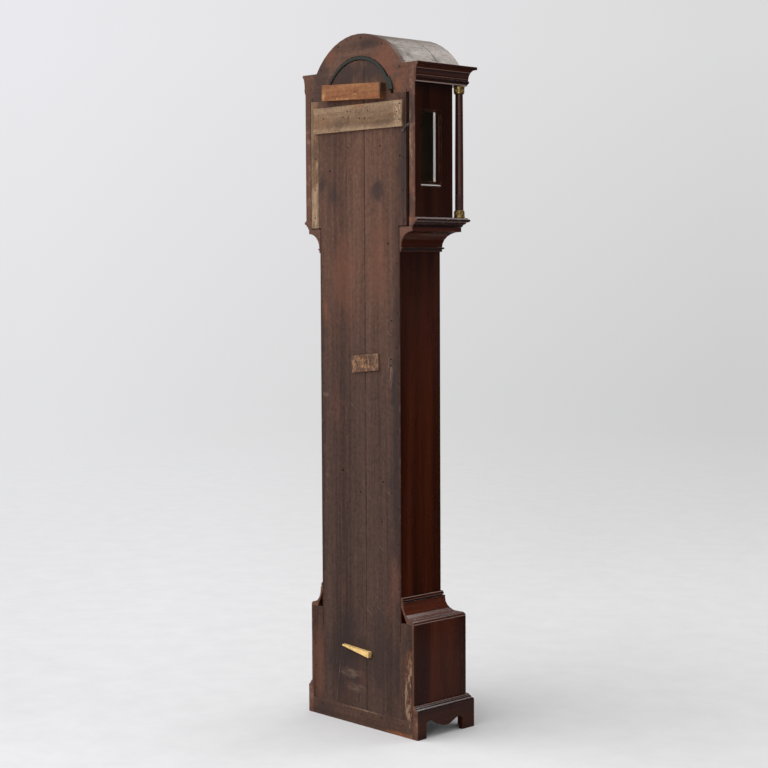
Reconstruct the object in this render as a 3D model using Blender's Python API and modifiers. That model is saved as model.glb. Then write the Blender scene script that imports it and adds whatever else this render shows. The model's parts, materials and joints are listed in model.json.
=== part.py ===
"""Longcase clock: mahogany case with a sliding break-arch hood, and an eight-day timepiece.

Metres, +Z up. The front faces -Y, left and right are those of someone who faces the dial, and the origin is
on the floor under the middle of the clock's box. Depths are counted forwards from the case's back plane.
"""

from math import asin, atan2, cos, pi, radians, sin, sqrt

import bmesh
import bpy
from mathutils import Matrix, Vector

# Fits
GAP = 0.0003
RUN_CLEARANCE = 0.0001
DOOR_CLEARANCE = 0.002

# Trunk
TRUNK_WIDTH = 0.370
TRUNK_DEPTH = 0.176
TRUNK_SIDE_WALL = 0.016
TRUNK_FRONT_WALL = 0.018
TRUNK_FOOT_Z = 0.300
CHEEK_TOP_Z = 1.6967
CHEEK_DEPTH = 0.140

# Backboard and the pieces nailed to it
BOARD_THICKNESS = 0.012
BOARD_LIP = 0.006
BOARD_JOINT_X = -0.027
BOARD_HOOD_REACH = 0.1925
BOARD_ARCH_RADIUS = 0.152
EAR_REACH = 0.2145
EDGE_STRIP_REACH = 0.2265
BATTEN_SPAN = (-0.205, 0.2035)
BATTEN_Z = (1.899, 1.9795)
BATTEN_THICKNESS = 0.008
TOP_BLOCK_SIZE = (0.272, 0.049)
TOP_BLOCK_CENTRE = (0.012, 2.019)
TOP_BLOCK_THICKNESS = 0.022
TOP_BLOCK_TILT = radians(-2.6)
MID_BLOCK_SIZE = (0.122, 0.053)
MID_BLOCK_CENTRE = (-0.031, 1.168)
MID_BLOCK_THICKNESS = 0.006
MID_BLOCK_TILT = radians(5.5)
WEDGE_LENGTH = 0.125
WEDGE_WIDTH = 0.019
WEDGE_THICKNESS = 0.014
WEDGE_TIP = (0.075, 0.253)
WEDGE_TILT = radians(6.8)

# Base
BASE_WIDTH = 0.481
BASE_DEPTH = 0.233
BASE_WALL = 0.016
BASE_FRONT_WALL = 0.017
BASE_TOP_Z = 0.359
RAIL_TOP_Z = 0.053
SKIRT_SIDE = 0.0165
SKIRT_FRONT = 0.021
SKIRT_TOP_Z = 0.1065
SKIRT_MOULDING = 0.0165
FRONT_FOOT = 0.0535
REAR_FOOT = 0.039
APRON_DROP_Z = 0.0275
APRON_PEAK_Z = 0.0545
APRON_FRONT_PEAK_Z = 0.0465

# Mouldings round the trunk
LOWER_COVE_TOP_Z = 0.440
UPPER_COVE_BOTTOM_Z = 1.517
UPPER_COVE_TOP_Z = 1.5937
UPPER_COVE_WIDTH = 0.480
UPPER_COVE_DEPTH = 0.216
COVE_BEAD = 0.005
COVE_NOSE = 0.011
COVE_STEPS = 6

# Hood
HOOD_WIDTH = 0.506
HOOD_SIDE_DEPTH = 0.164
HOOD_WALL = 0.024
HOOD_BOTTOM_Z = 1.594
HOOD_FLOOR_Z = 1.622
HOOD_BASE_LIP = 0.0085
HOOD_BASE_DEPTH = 0.235
HOOD_BASE_RAIL = 0.0255
SHOULDER_Z = 2.092
ARCH_TOP_Z = 2.200
ARCH_RADIUS = 0.235
ROOF_BOARD = 0.008
REAR_ARCH_THICKNESS = 0.016
REAR_ARCH_BOTTOM_Z = 2.003
REAR_CUT_RADIUS = 0.166
FRAME_THICKNESS = 0.014
FRAME_REACH = 0.1965
CORNICE_OVERHANG = 0.013
CORNICE_DEPTH = 0.262
CORNICE_HEIGHT = 0.061
FRIEZE_DEPTH = 0.226
CORNICE_SIDE_LIP = 0.002
ARCH_STATIONS = 16
WINDOW_DEPTHS = (0.031, 0.109)
WINDOW_Z = (1.731, 1.944)
WINDOW_SUNK_EDGE = 0.005
WINDOW_SUNK = 0.006
WINDOW_SILL = 0.015
WINDOW_REBATE = 0.005
PANE = 0.0022
COLUMN_X = 0.238
COLUMN_DEPTH = 0.209
COLUMN_RADIUS = 0.0135
COLUMN_CAP = 0.023

# Hood door
HOOD_DOOR_REACH = 0.219
HOOD_DOOR_THICKNESS = 0.019
HOOD_DOOR_SHOULDER_Z = 2.020
HOOD_DOOR_ARCH = 0.150
HOOD_DOOR_STILE = 0.0405
HOOD_DOOR_RAIL = 0.043
HOOD_DOOR_HEAD = 0.034
HOOD_DOOR_GLASS_LIP = 0.007
HOOD_DOOR_BEAD = 0.0067
HOOD_DOOR_PIN = 0.0035

# Trunk door
TRUNK_DOOR_WIDTH = 0.230
TRUNK_DOOR_Z = (0.545, 1.390)
TRUNK_DOOR_ARCH = 0.085
TRUNK_DOOR_ARCH_DROP = 0.030
TRUNK_DOOR_LIP = 0.007
TRUNK_DOOR_LIP_THICKNESS = 0.006
HINGE_LENGTH = 0.060
HINGE_LEAF = 0.018
HINGE_PLATE = 0.0012
HINGE_KNUCKLE = 0.0035
HINGE_INSET = 0.130
LOCK_SIZE = (0.042, 0.062)
LOCK_THICKNESS = 0.011
LOCK_Z = 1.000
BOLT_SIZE = (0.030, 0.012)
BOLT_THICKNESS = 0.005
BOLT_RETRACTED = 0.003

# Hook that holds the hood
HOOK_WIRE = 0.0016
HOOK_EYE = 0.0052
HOOK_CURL = 0.0052
HOOK_PIVOT = (-0.2045, 1.886)
HOOK_REACH = 0.024
HOOK_ANGLE = radians(46)

# Seat board and plates
SEAT_TOP_Z = 1.715
SEAT_DEPTHS = (0.062, 0.146)
SEAT_SLOT = (0.028, 0.012)
PLATE_WIDTH = 0.120
PLATE_TOP_Z = 1.932
PLATE_THICKNESS = 0.003
BACK_PLATE_DEPTH = 0.069
PLATE_SPACE = 0.060
PILLAR_RADIUS = 0.005
PILLAR_X = 0.050
PILLAR_Z = (1.727, 1.920)

# Dial
DIAL_CENTRE_Z = 1.829
DIAL_WIDTH = 0.356
DIAL_DEPTH = 0.152
DIAL_THICKNESS = 0.002
DIAL_BOTTOM_Z = 1.662
DIAL_SHOULDER_Z = 1.995
DIAL_ARCH = 0.121
DIAL_HOLE = 0.0085
WINDING_HOLE = 0.0065
SECONDS_HOLE = 0.004
DIAL_FOOT_RADIUS = 0.003
DIAL_FOOT_X = 0.045
DIAL_FOOT_Z = (1.745, 1.905)
CHAPTER_OUTER = 0.150
CHAPTER_INNER = 0.112
CHAPTER_THICKNESS = 0.0015
HOUR_HAND = 0.098
MINUTE_HAND = 0.142
SECONDS_HAND = 0.026
HAND_THICKNESS = 0.0012
HOUR_HAND_DEPTH = 0.1575
MINUTE_HAND_DEPTH = 0.1622
SECONDS_HAND_DEPTH = 0.1547

# Going train
GREAT_TEETH = 96
CENTRE_PINION = 8
CENTRE_TEETH = 60
THIRD_PINION = 8
THIRD_TEETH = 56
ESCAPE_PINION = 7
ESCAPE_TEETH = 30
GREAT_MODULE = 0.00104
CENTRE_MODULE = 0.0009
THIRD_MODULE = 0.00095
ESCAPE_RADIUS = 0.0255
SECONDS_OFFSET = 0.050
WHEEL_THICKNESS = 0.003
GREAT_LAYER = 0.1240
CENTRE_LAYER = 0.0915
THIRD_LAYER = 0.1060
ESCAPE_LAYER = 0.0820
PINION_LENGTH = 0.009
PIVOT_RADIUS = 0.0012
PIVOT_HOLE = 0.0013
ARBOR_RADIUS = 0.0017
CENTRE_ARBOR_RADIUS = 0.0022
BARREL_RADIUS = 0.018
BARREL_FLANGE = 0.0215
BARREL_SPAN = (0.078, 0.1215)
BARREL_ARBOR = 0.004
BARREL_PIVOT = 0.003
WINDING_SQUARE = 0.0042
CENTRE_FRONT_DEPTH = 0.1665
WHEEL_ARM = 0.003
TOOTH_WIDTH = 0.80
LEAF_WIDTH = 0.68
TOOTH_TIP = 0.95
TOOTH_ROOT = 1.3

# Motion work
CANNON_TEETH = 30
MINUTE_PINION = 6
HOUR_TEETH = 72
CANNON_MODULE = 0.0013
CANNON_THICKNESS = 0.003
CANNON_LAYER = 0.1376
HOUR_LAYER = 0.1420
CANNON_PIPE = 0.0040
HOUR_PIPE = 0.0060
PIPE_WALL = 0.0014
HOUR_REST = radians(304.5)
MINUTE_REST = radians(54)
SECONDS_REST = radians(210)

# Escapement and pendulum
ANCHOR_RISE = 0.033
ANCHOR_CLEARANCE = 0.0018
PALLET_ANGLE = radians(45)
PALLET_THICKNESS = 0.004
ANCHOR_BAR = 0.006
CRUTCH_DEPTH = 0.060
CRUTCH_LENGTH = 0.067
CRUTCH_WIDTH = 0.006
CRUTCH_THICKNESS = 0.0025
COCK_DEPTHS = (0.0525, 0.0555)
COCK_REACH = 0.030
COCK_HEIGHT = 0.018
COCK_FOOT = 0.006
COCK_BLOCK = 0.010
COCK_LAP = 0.0008
PENDULUM_DEPTH = 0.047
PENDULUM_LENGTH = 0.994
ROD_RADIUS = 0.0022
SPRING_WIDTH = 0.007
SPRING_THICKNESS = 0.0006
SPRING_SLOT = 0.003
BOB_RADIUS = 0.055
BOB_THICKNESS = 0.026
NUT_RADIUS = 0.007
NUT_HEIGHT = 0.006

# Weight and line
LINE_RADIUS = 0.001
LINE_DEPTH = 0.100
PULLEY_AXIS_Z = 0.680
PULLEY_WIDTH = 0.010
PULLEY_FLANGE = 0.0035
AXLE_RADIUS = 0.002
STIRRUP_THICKNESS = 0.0025
STIRRUP_WIDTH = 0.012
WEIGHT_RADIUS = 0.034
WEIGHT_HEIGHT = 0.160
WEIGHT_NECK = 0.030

# Places worked out from the sizes above
BACK_Y = (CORNICE_DEPTH - TOP_BLOCK_THICKNESS - GAP) / 2
ARCH_CENTRE_Z = ARCH_TOP_Z - ARCH_RADIUS
CORNICE_BOTTOM_Z = SHOULDER_Z - CORNICE_HEIGHT
SOFFIT_RADIUS = ARCH_RADIUS - CORNICE_HEIGHT
TRUNK_X = TRUNK_WIDTH / 2
BASE_X = BASE_WIDTH / 2
BASE_BOTTOM_Z = APRON_PEAK_Z + 0.003
BACK_STRIP_TOP_Z = BASE_TOP_Z - GAP
SKIRT_X = BASE_X + SKIRT_SIDE
SKIRT_DEPTH = BASE_DEPTH + SKIRT_FRONT
HOOD_X = HOOD_WIDTH / 2
HOOD_BASE_X = HOOD_X + HOOD_BASE_LIP
CORNICE_X = HOOD_X + CORNICE_OVERHANG
HOOD_INNER_X = HOOD_X - HOOD_WALL
FRAME_DEPTH = HOOD_SIDE_DEPTH - 0.001 - FRAME_THICKNESS
DOOR_DEPTH = HOOD_SIDE_DEPTH + 0.0015
FRONT_PLATE_DEPTH = BACK_PLATE_DEPTH + PLATE_THICKNESS + PLATE_SPACE
GREAT_DISTANCE = GREAT_MODULE * (GREAT_TEETH + CENTRE_PINION) / 2
THIRD_DISTANCE = CENTRE_MODULE * (CENTRE_TEETH + THIRD_PINION) / 2
ESCAPE_DISTANCE = THIRD_MODULE * (THIRD_TEETH + ESCAPE_PINION) / 2
CANNON_DISTANCE = CANNON_MODULE * CANNON_TEETH
HOUR_MODULE = 2 * CANNON_DISTANCE / (HOUR_TEETH + MINUTE_PINION)
BARREL_Z = DIAL_CENTRE_Z - GREAT_DISTANCE
ESCAPE_Z = DIAL_CENTRE_Z + SECONDS_OFFSET
ANCHOR_Z = ESCAPE_Z + ANCHOR_RISE
LINE_X = BARREL_RADIUS + LINE_RADIUS + GAP
BOB_Z = ANCHOR_Z - PENDULUM_LENGTH

# Finishes: colour, roughness, metallic
FINISHES = {
    "mahogany": ((0.105, 0.030, 0.018, 1), 0.28, 0.0),
    "old_board": ((0.110, 0.062, 0.045, 1), 0.75, 0.0),
    "oak": ((0.185, 0.105, 0.060, 1), 0.70, 0.0),
    "dusty_board": ((0.280, 0.240, 0.205, 1), 0.85, 0.0),
    "new_pine": ((0.480, 0.220, 0.085, 1), 0.65, 0.0),
    "grey_pine": ((0.270, 0.190, 0.120, 1), 0.75, 0.0),
    "pale_pine": ((0.860, 0.580, 0.200, 1), 0.60, 0.0),
    "brass": ((0.560, 0.410, 0.160, 1), 0.30, 1.0),
    "silvered": ((0.760, 0.740, 0.680, 1), 0.38, 1.0),
    "blued_steel": ((0.030, 0.035, 0.060, 1), 0.30, 1.0),
    "iron": ((0.100, 0.095, 0.090, 1), 0.55, 1.0),
    "glass": ((0.900, 0.940, 0.930, 1), 0.03, 0.0),
    "gut": ((0.620, 0.480, 0.270, 1), 0.50, 0.0),
}


def clear_scene():
    for obj in list(bpy.data.objects):
        bpy.data.objects.remove(obj, do_unlink=True)


def new_collection(name, helper=False):
    collection = bpy.data.collections.new(name)
    collection.hide_render = helper
    bpy.context.scene.collection.children.link(collection)
    return collection


def finish(kind):
    """One Principled material for each finish, made once."""
    found = bpy.data.materials.get(kind)
    if found:
        return found
    made = bpy.data.materials.new(kind)
    made.use_nodes = True
    colour, roughness, metallic = FINISHES[kind]
    shader = made.node_tree.nodes["Principled BSDF"]
    shader.inputs["Base Color"].default_value = colour
    shader.inputs["Roughness"].default_value = roughness
    shader.inputs["Metallic"].default_value = metallic
    return made


def standing(x=0.0, z=0.0, depth=0.0):
    """Frame whose local X and Y lie across and up the clock, and whose local Z counts depth forwards."""
    return Matrix.Translation((x, BACK_Y - depth, z)) @ Matrix.Rotation(pi / 2, 4, "X")


def sideways():
    """Frame whose local X counts depth, local Y goes up and local Z goes to the left."""
    axes = Matrix(((0, 0, -1), (-1, 0, 0), (0, 1, 0))).to_4x4()
    return Matrix.Translation((0, BACK_Y, 0)) @ axes


def upright(x, depth, z=0.0):
    return Matrix.Translation((x, BACK_Y - depth, z))


def place(name, mesh, kind, frame=None, helper=False):
    """Links a mesh as a piece of the clock, or as a helper that other pieces are joined with or cut by."""
    obj = bpy.data.objects.new(name, mesh)
    obj.matrix_world = frame or Matrix.Identity(4)
    (HELPERS if helper else CLOCK).objects.link(obj)
    if helper:
        obj.hide_render = True
        obj.display_type = "WIRE"
    else:
        mesh.materials.append(finish(kind))
    return obj


def evaluated_mesh(obj, lift=0.0):
    """The object's shape with its modifiers, welded and raised along local Z. The object is removed."""
    graph = bpy.context.evaluated_depsgraph_get()
    mesh = bpy.data.meshes.new_from_object(obj.evaluated_get(graph), depsgraph=graph)
    name = obj.name
    bpy.data.objects.remove(obj, do_unlink=True)
    bm = bmesh.new()
    bm.from_mesh(mesh)
    bmesh.ops.remove_doubles(bm, verts=bm.verts, dist=1e-6)
    bmesh.ops.translate(bm, verts=bm.verts, vec=(0, 0, lift))
    bmesh.ops.recalc_face_normals(bm, faces=bm.faces)
    bm.to_mesh(mesh)
    bm.free()
    mesh.materials.clear()
    mesh.name = name
    return mesh


def plate(name, loops, low, high, kind="", frame=None, helper=False):
    """Flat outlines, the first the edge and the rest holes, made thick from low to high along local Z."""
    curve = bpy.data.curves.new(name, "CURVE")
    curve.dimensions = "2D"
    curve.fill_mode = "BOTH"
    curve.extrude = (high - low) / 2
    for loop in loops:
        spline = curve.splines.new("POLY")
        spline.points.add(len(loop) - 1)
        spline.use_cyclic_u = True
        for point, (x, y) in zip(spline.points, loop):
            point.co = (x, y, 0, 1)
    guide = bpy.data.objects.new(name, curve)
    bpy.context.scene.collection.objects.link(guide)
    mesh = evaluated_mesh(guide, (low + high) / 2)
    return place(name, mesh, kind, frame, helper)


def turned(name, profile, steps, kind="", frame=None, helper=False, closed=False):
    """A profile of (radius, height) points, top to bottom, spun round local Z. A closed one is a ring."""
    mesh = bpy.data.meshes.new(name)
    edges = [(i, i + 1) for i in range(len(profile) - 1)]
    if closed:
        edges.append((len(profile) - 1, 0))
    mesh.from_pydata([(radius, 0, height) for radius, height in profile], edges, [])
    guide = bpy.data.objects.new(name, mesh)
    bpy.context.scene.collection.objects.link(guide)
    screw = guide.modifiers.new("Turn", "SCREW")
    screw.steps = steps
    screw.render_steps = steps
    screw.use_merge_vertices = True
    screw.merge_threshold = 0.00001
    made = evaluated_mesh(guide)
    made.shade_smooth()
    made.set_sharp_from_angle(angle=radians(35))
    return place(name, made, kind, frame, helper)


def rod(name, radius, low, high, kind="", frame=None, helper=False, steps=16):
    return turned(name, [(0, high), (radius, high), (radius, low), (0, low)], steps, kind, frame, helper)


def tube(name, inner, outer, low, high, kind="", frame=None, helper=False, steps=24):
    ring = [(outer, high), (outer, low), (inner, low), (inner, high)]
    return turned(name, ring, steps, kind, frame, helper, closed=True)


def block(name, across, depths, heights, kind="", helper=False):
    """A box between two positions across, two depths and two heights."""
    bm = bmesh.new()
    bmesh.ops.create_cube(bm, size=1)
    size = Vector((across[1] - across[0], depths[1] - depths[0], heights[1] - heights[0]))
    middle = Vector((sum(across) / 2, BACK_Y - sum(depths) / 2, sum(heights) / 2))
    bmesh.ops.scale(bm, verts=bm.verts, vec=size)
    mesh = bpy.data.meshes.new(name)
    bm.to_mesh(mesh)
    bm.free()
    return place(name, mesh, kind, Matrix.Translation(middle), helper)


def loft(name, rings, kind="", frame=None):
    """A solid through closed rings of as many points each, with flat ends."""
    bm = bmesh.new()
    rows = [[bm.verts.new(point) for point in ring] for ring in rings]
    for first, second in zip(rows, rows[1:]):
        for i in range(len(first)):
            j = (i + 1) % len(first)
            bm.faces.new((first[i], first[j], second[j], second[i]))
    bm.faces.new(rows[0])
    bm.faces.new(rows[-1])
    bmesh.ops.recalc_face_normals(bm, faces=bm.faces)
    bmesh.ops.triangulate(bm, faces=bm.faces)
    mesh = bpy.data.meshes.new(name)
    bm.to_mesh(mesh)
    bm.free()
    return place(name, mesh, kind, frame)


def boolean(obj, other, operation):
    modifier = obj.modifiers.new(other.name, "BOOLEAN")
    modifier.operation = operation
    modifier.solver = "EXACT"
    modifier.object = other


def join(obj, *others):
    for other in others:
        boolean(obj, other, "UNION")
    return obj


def cut(obj, *others):
    for other in others:
        boolean(obj, other, "DIFFERENCE")
    return obj


def circle(radius, x=0.0, y=0.0, steps=16):
    turns = [2 * pi * i / steps for i in range(steps)]
    return [(x + radius * cos(turn), y + radius * sin(turn)) for turn in turns]


def rectangle(x0, x1, y0, y1):
    return [(x0, y0), (x1, y0), (x1, y1), (x0, y1)]


def arc(radius, centre_z, start, end, steps):
    """Points on an arc round the clock's middle line, from one angle to another."""
    angles = [start + (end - start) * i / steps for i in range(steps + 1)]
    return [(radius * cos(a), centre_z + radius * sin(a)) for a in angles]


def arch_spring(radius, level, centre_z=ARCH_CENTRE_Z):
    """The angle at which an arch of this radius leaves a level."""
    return asin((level - centre_z) / radius)


def arched(reach, bottom, shoulder, radius, centre_z=ARCH_CENTRE_Z, right_reach=None, steps=16):
    """A break-arch outline: straight sides, level shoulders and an arch between them."""
    spring = arch_spring(radius, shoulder, centre_z)
    right = reach if right_reach is None else right_reach
    base = [(-reach, bottom), (right, bottom), (right, shoulder)]
    return base + arc(radius, centre_z, spring, pi - spring, steps) + [(-reach, shoulder)]


def wrapped(name, ring, kind):
    """A mitred moulding along both sides and the front, from a ring of (reach, depth, height) points."""
    def row(sign, at_back):
        return [(sign * x, BACK_Y - (0.0 if at_back else depth), z) for x, depth, z in ring]

    return loft(name, [row(1, True), row(1, False), row(-1, False), row(-1, True)], kind)


def concave(start, end, steps=COVE_STEPS):
    """A hollow quarter curve of (reach, depth, height) points, level at its start, upright at its end."""
    points = []
    for i in range(steps + 1):
        turn = pi / 2 * i / steps
        across = sin(turn)
        rise = 1 - cos(turn)
        points.append(
            (
                start[0] + (end[0] - start[0]) * across,
                start[1] + (end[1] - start[1]) * across,
                start[2] + (end[2] - start[2]) * rise,
            )
        )
    return points


def trunk_edge(out, z):
    return (TRUNK_X + out, TRUNK_DEPTH + out, z)


def make_lower_cove():
    seat = BASE_TOP_Z + GAP
    lip = 0.002
    fillet = 2 * COVE_BEAD
    bead_z = LOWER_COVE_TOP_Z - 0.014
    hollow = 0.030
    ring = [trunk_edge(GAP, LOWER_COVE_TOP_Z), trunk_edge(GAP, LOWER_COVE_TOP_Z - hollow)]
    ring.append((BASE_X - hollow, BASE_DEPTH - hollow, seat))
    ring += [(BASE_X, BASE_DEPTH, seat), (BASE_X, BASE_DEPTH, seat + lip)]
    for turn in (radians(30), radians(60)):
        inset = COVE_NOSE * (1 - cos(turn))
        ring.append((BASE_X - inset, BASE_DEPTH - inset, seat + lip + COVE_NOSE * sin(turn)))
    crest = (BASE_X - COVE_NOSE, BASE_DEPTH - COVE_NOSE, seat + lip + COVE_NOSE)
    ring += concave(crest, trunk_edge(fillet, bead_z - 0.008))
    ring += [trunk_edge(fillet, bead_z), trunk_edge(COVE_BEAD * 0.7, bead_z)]
    ring += [trunk_edge(COVE_BEAD * 1.5, bead_z + 0.005), trunk_edge(COVE_BEAD, LOWER_COVE_TOP_Z)]
    wrapped("lower_cove", ring, "mahogany")


def make_upper_cove():
    reach = UPPER_COVE_WIDTH / 2
    frieze = UPPER_COVE_TOP_Z - 0.015
    bead_top = UPPER_COVE_BOTTOM_Z + 0.014
    hollow = concave((reach - 0.003, UPPER_COVE_DEPTH - 0.003, frieze), trunk_edge(COVE_BEAD, bead_top))
    ring = [trunk_edge(GAP, UPPER_COVE_BOTTOM_Z), trunk_edge(GAP, UPPER_COVE_TOP_Z)]
    ring += [(reach, UPPER_COVE_DEPTH, UPPER_COVE_TOP_Z), (reach, UPPER_COVE_DEPTH, frieze)]
    ring += hollow
    ring += [trunk_edge(2 * COVE_BEAD, bead_top), trunk_edge(2 * COVE_BEAD, bead_top - 0.005)]
    ring += [trunk_edge(COVE_BEAD, bead_top - 0.006), trunk_edge(COVE_BEAD, UPPER_COVE_BOTTOM_Z)]
    wrapped("upper_cove", ring, "mahogany")


def make_backboard():
    """Two boards with an arched head, the strips that widen them in the hood, and the blocks behind."""
    foot = RAIL_TOP_Z + GAP
    ear_z = UPPER_COVE_TOP_Z + 0.003
    inner = TRUNK_X - BOARD_LIP - GAP
    head = REAR_ARCH_BOTTOM_Z - GAP
    spring = arch_spring(BOARD_ARCH_RADIUS, head)
    joint = atan2(sqrt(BOARD_ARCH_RADIUS ** 2 - BOARD_JOINT_X ** 2), BOARD_JOINT_X)
    wide = [(BOARD_JOINT_X + GAP / 2, foot), (inner, foot), (inner, ear_z), (BOARD_HOOD_REACH - GAP, ear_z)]
    wide += [(BOARD_HOOD_REACH - GAP, head)] + arc(BOARD_ARCH_RADIUS, ARCH_CENTRE_Z, spring, joint, 14)
    wide[-1] = (BOARD_JOINT_X + GAP / 2, wide[-1][1])
    narrow = [(BOARD_JOINT_X - GAP / 2, foot)]
    narrow += arc(BOARD_ARCH_RADIUS, ARCH_CENTRE_Z, joint, pi - spring, 10)
    narrow[1] = (BOARD_JOINT_X - GAP / 2, narrow[1][1])
    narrow += [(-inner, head), (-inner, foot)]
    frame = standing()
    plate("backboard_wide", [wide], 0, BOARD_THICKNESS, "old_board", frame)
    plate("backboard_narrow", [narrow], 0, BOARD_THICKNESS, "old_board", frame)
    ear = rectangle(-EAR_REACH, -inner - GAP, ear_z, head)
    plate("backboard_ear", [ear], 0, BOARD_THICKNESS, "old_board", frame)
    strip = rectangle(BOARD_HOOD_REACH, EDGE_STRIP_REACH, ear_z, head)
    plate("edge_strip", [strip], 0, BOARD_THICKNESS, "grey_pine", frame)
    batten = rectangle(*BATTEN_SPAN, *BATTEN_Z)
    plate("cross_batten", [batten], -GAP - BATTEN_THICKNESS, -GAP, "grey_pine", frame)
    nailed_block("top_spacer_block", TOP_BLOCK_SIZE, TOP_BLOCK_CENTRE, TOP_BLOCK_THICKNESS, TOP_BLOCK_TILT)
    nailed_block("mid_spacer_block", MID_BLOCK_SIZE, MID_BLOCK_CENTRE, MID_BLOCK_THICKNESS, MID_BLOCK_TILT)
    wedge = [(0, -WEDGE_WIDTH * 0.1), (0, WEDGE_WIDTH * 0.1)]
    wedge += [(-WEDGE_LENGTH, WEDGE_WIDTH / 2), (-WEDGE_LENGTH, -WEDGE_WIDTH / 2)]
    turn = Matrix.Rotation(WEDGE_TILT, 4, "Z")
    plate("spacer_wedge", [wedge], -GAP - WEDGE_THICKNESS, -GAP, "pale_pine", standing(*WEDGE_TIP) @ turn)


def nailed_block(name, size, centre, thickness, tilt):
    width, height = size
    outline = rectangle(-width / 2, width / 2, -height / 2, height / 2)
    frame = standing(*centre) @ Matrix.Rotation(-tilt, 4, "Z")
    plate(name, [outline], -GAP - thickness, -GAP, "new_pine", frame)


def make_trunk():
    """Two rebated sides that rise as cheeks for the seat board, and the front frame round the door."""
    front = TRUNK_DEPTH - TRUNK_FRONT_WALL - GAP
    shoulder = UPPER_COVE_TOP_Z
    behind = BOARD_THICKNESS + GAP
    outline = [(0, TRUNK_FOOT_Z), (front, TRUNK_FOOT_Z), (front, shoulder), (CHEEK_DEPTH, shoulder)]
    cheek = behind + GAP
    outline += [(CHEEK_DEPTH, CHEEK_TOP_Z), (cheek, CHEEK_TOP_Z), (cheek, shoulder), (0, shoulder)]
    for name, sign in (("left", -1), ("right", 1)):
        walls = sorted((-sign * TRUNK_X, -sign * (TRUNK_X - TRUNK_SIDE_WALL)))
        side = plate(f"trunk_side_{name}", [outline], *walls, "mahogany", sideways())
        across = sorted((sign * (TRUNK_X - BOARD_LIP), sign * (TRUNK_X - 2 * TRUNK_SIDE_WALL)))
        rise = (0, CHEEK_TOP_Z + 0.1)
        cut(side, block(f"trunk_rebate_{name}", across, (-0.01, behind), rise, helper=True))
    outer = rectangle(-TRUNK_X, TRUNK_X, TRUNK_FOOT_Z, UPPER_COVE_TOP_Z)
    opening = trunk_door_outline(0)
    inside = TRUNK_DEPTH - TRUNK_FRONT_WALL
    plate("trunk_front", [outer, opening], inside, TRUNK_DEPTH, "mahogany", standing())


def trunk_door_outline(out, hinge_x=0.0):
    """The outline of the door opening, widened by out, counted from a hinge line."""
    low, high = TRUNK_DOOR_Z
    points = arched(
        TRUNK_DOOR_WIDTH / 2 + out,
        low - out,
        high + out,
        TRUNK_DOOR_ARCH + out,
        high - TRUNK_DOOR_ARCH_DROP,
        steps=12,
    )
    return [(x - hinge_x, z) for x, z in points]


def make_base():
    """The box under the trunk, whose sides stand on their back corners, and the skirting round it."""
    side_front = BASE_DEPTH - BASE_FRONT_WALL - GAP
    behind = BOARD_THICKNESS + GAP
    strip_x = BASE_X - BOARD_LIP - GAP
    inner = TRUNK_X - BOARD_LIP
    foot = RAIL_TOP_Z + GAP
    back_foot = REAR_FOOT - 0.002
    for name, sign in (("left", -1), ("right", 1)):
        walls = sorted((sign * BASE_X, sign * (BASE_X - BASE_WALL)))
        low = BASE_BOTTOM_Z
        outline = [(0, 0), (back_foot, 0), (back_foot, low), (side_front, low)]
        outline += [(side_front, BASE_TOP_Z), (0, BASE_TOP_Z)]
        side = plate(f"base_side_{name}", [outline], -walls[1], -walls[0], "mahogany", sideways())
        across = sorted((sign * (BASE_X - BOARD_LIP), sign * (BASE_X - 2 * BASE_WALL)))
        tall = (-0.1, BASE_TOP_Z + 0.1)
        cut(side, block(f"base_rebate_{name}", across, (-0.01, behind), tall, helper=True))
        top = BACK_STRIP_TOP_Z
        strip = [(inner, foot), (strip_x, foot), (strip_x, top), (TRUNK_X + GAP, top)]
        strip += [(TRUNK_X + GAP, TRUNK_FOOT_Z - GAP), (inner, TRUNK_FOOT_Z - GAP)]
        strip = [(sign * x, z) for x, z in strip]
        plate(f"base_back_strip_{name}", [strip], 0, BOARD_THICKNESS, "old_board", standing())
    block("base_back_rail", (-strip_x, strip_x), (0, BOARD_THICKNESS), (0, RAIL_TOP_Z), "old_board")
    front = (BASE_DEPTH - BASE_FRONT_WALL, BASE_DEPTH)
    block("base_front", (-BASE_X, BASE_X), front, (BASE_BOTTOM_Z, BASE_TOP_Z), "mahogany")
    make_skirting()


def wave(start, end, steps=6):
    """A smooth swing from one point to another, level at both ends."""
    points = []
    for i in range(steps + 1):
        share = i / steps
        swing = (1 - cos(pi * share)) / 2
        points.append((start[0] + (end[0] - start[0]) * share, start[1] + (end[1] - start[1]) * swing))
    return points


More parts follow.
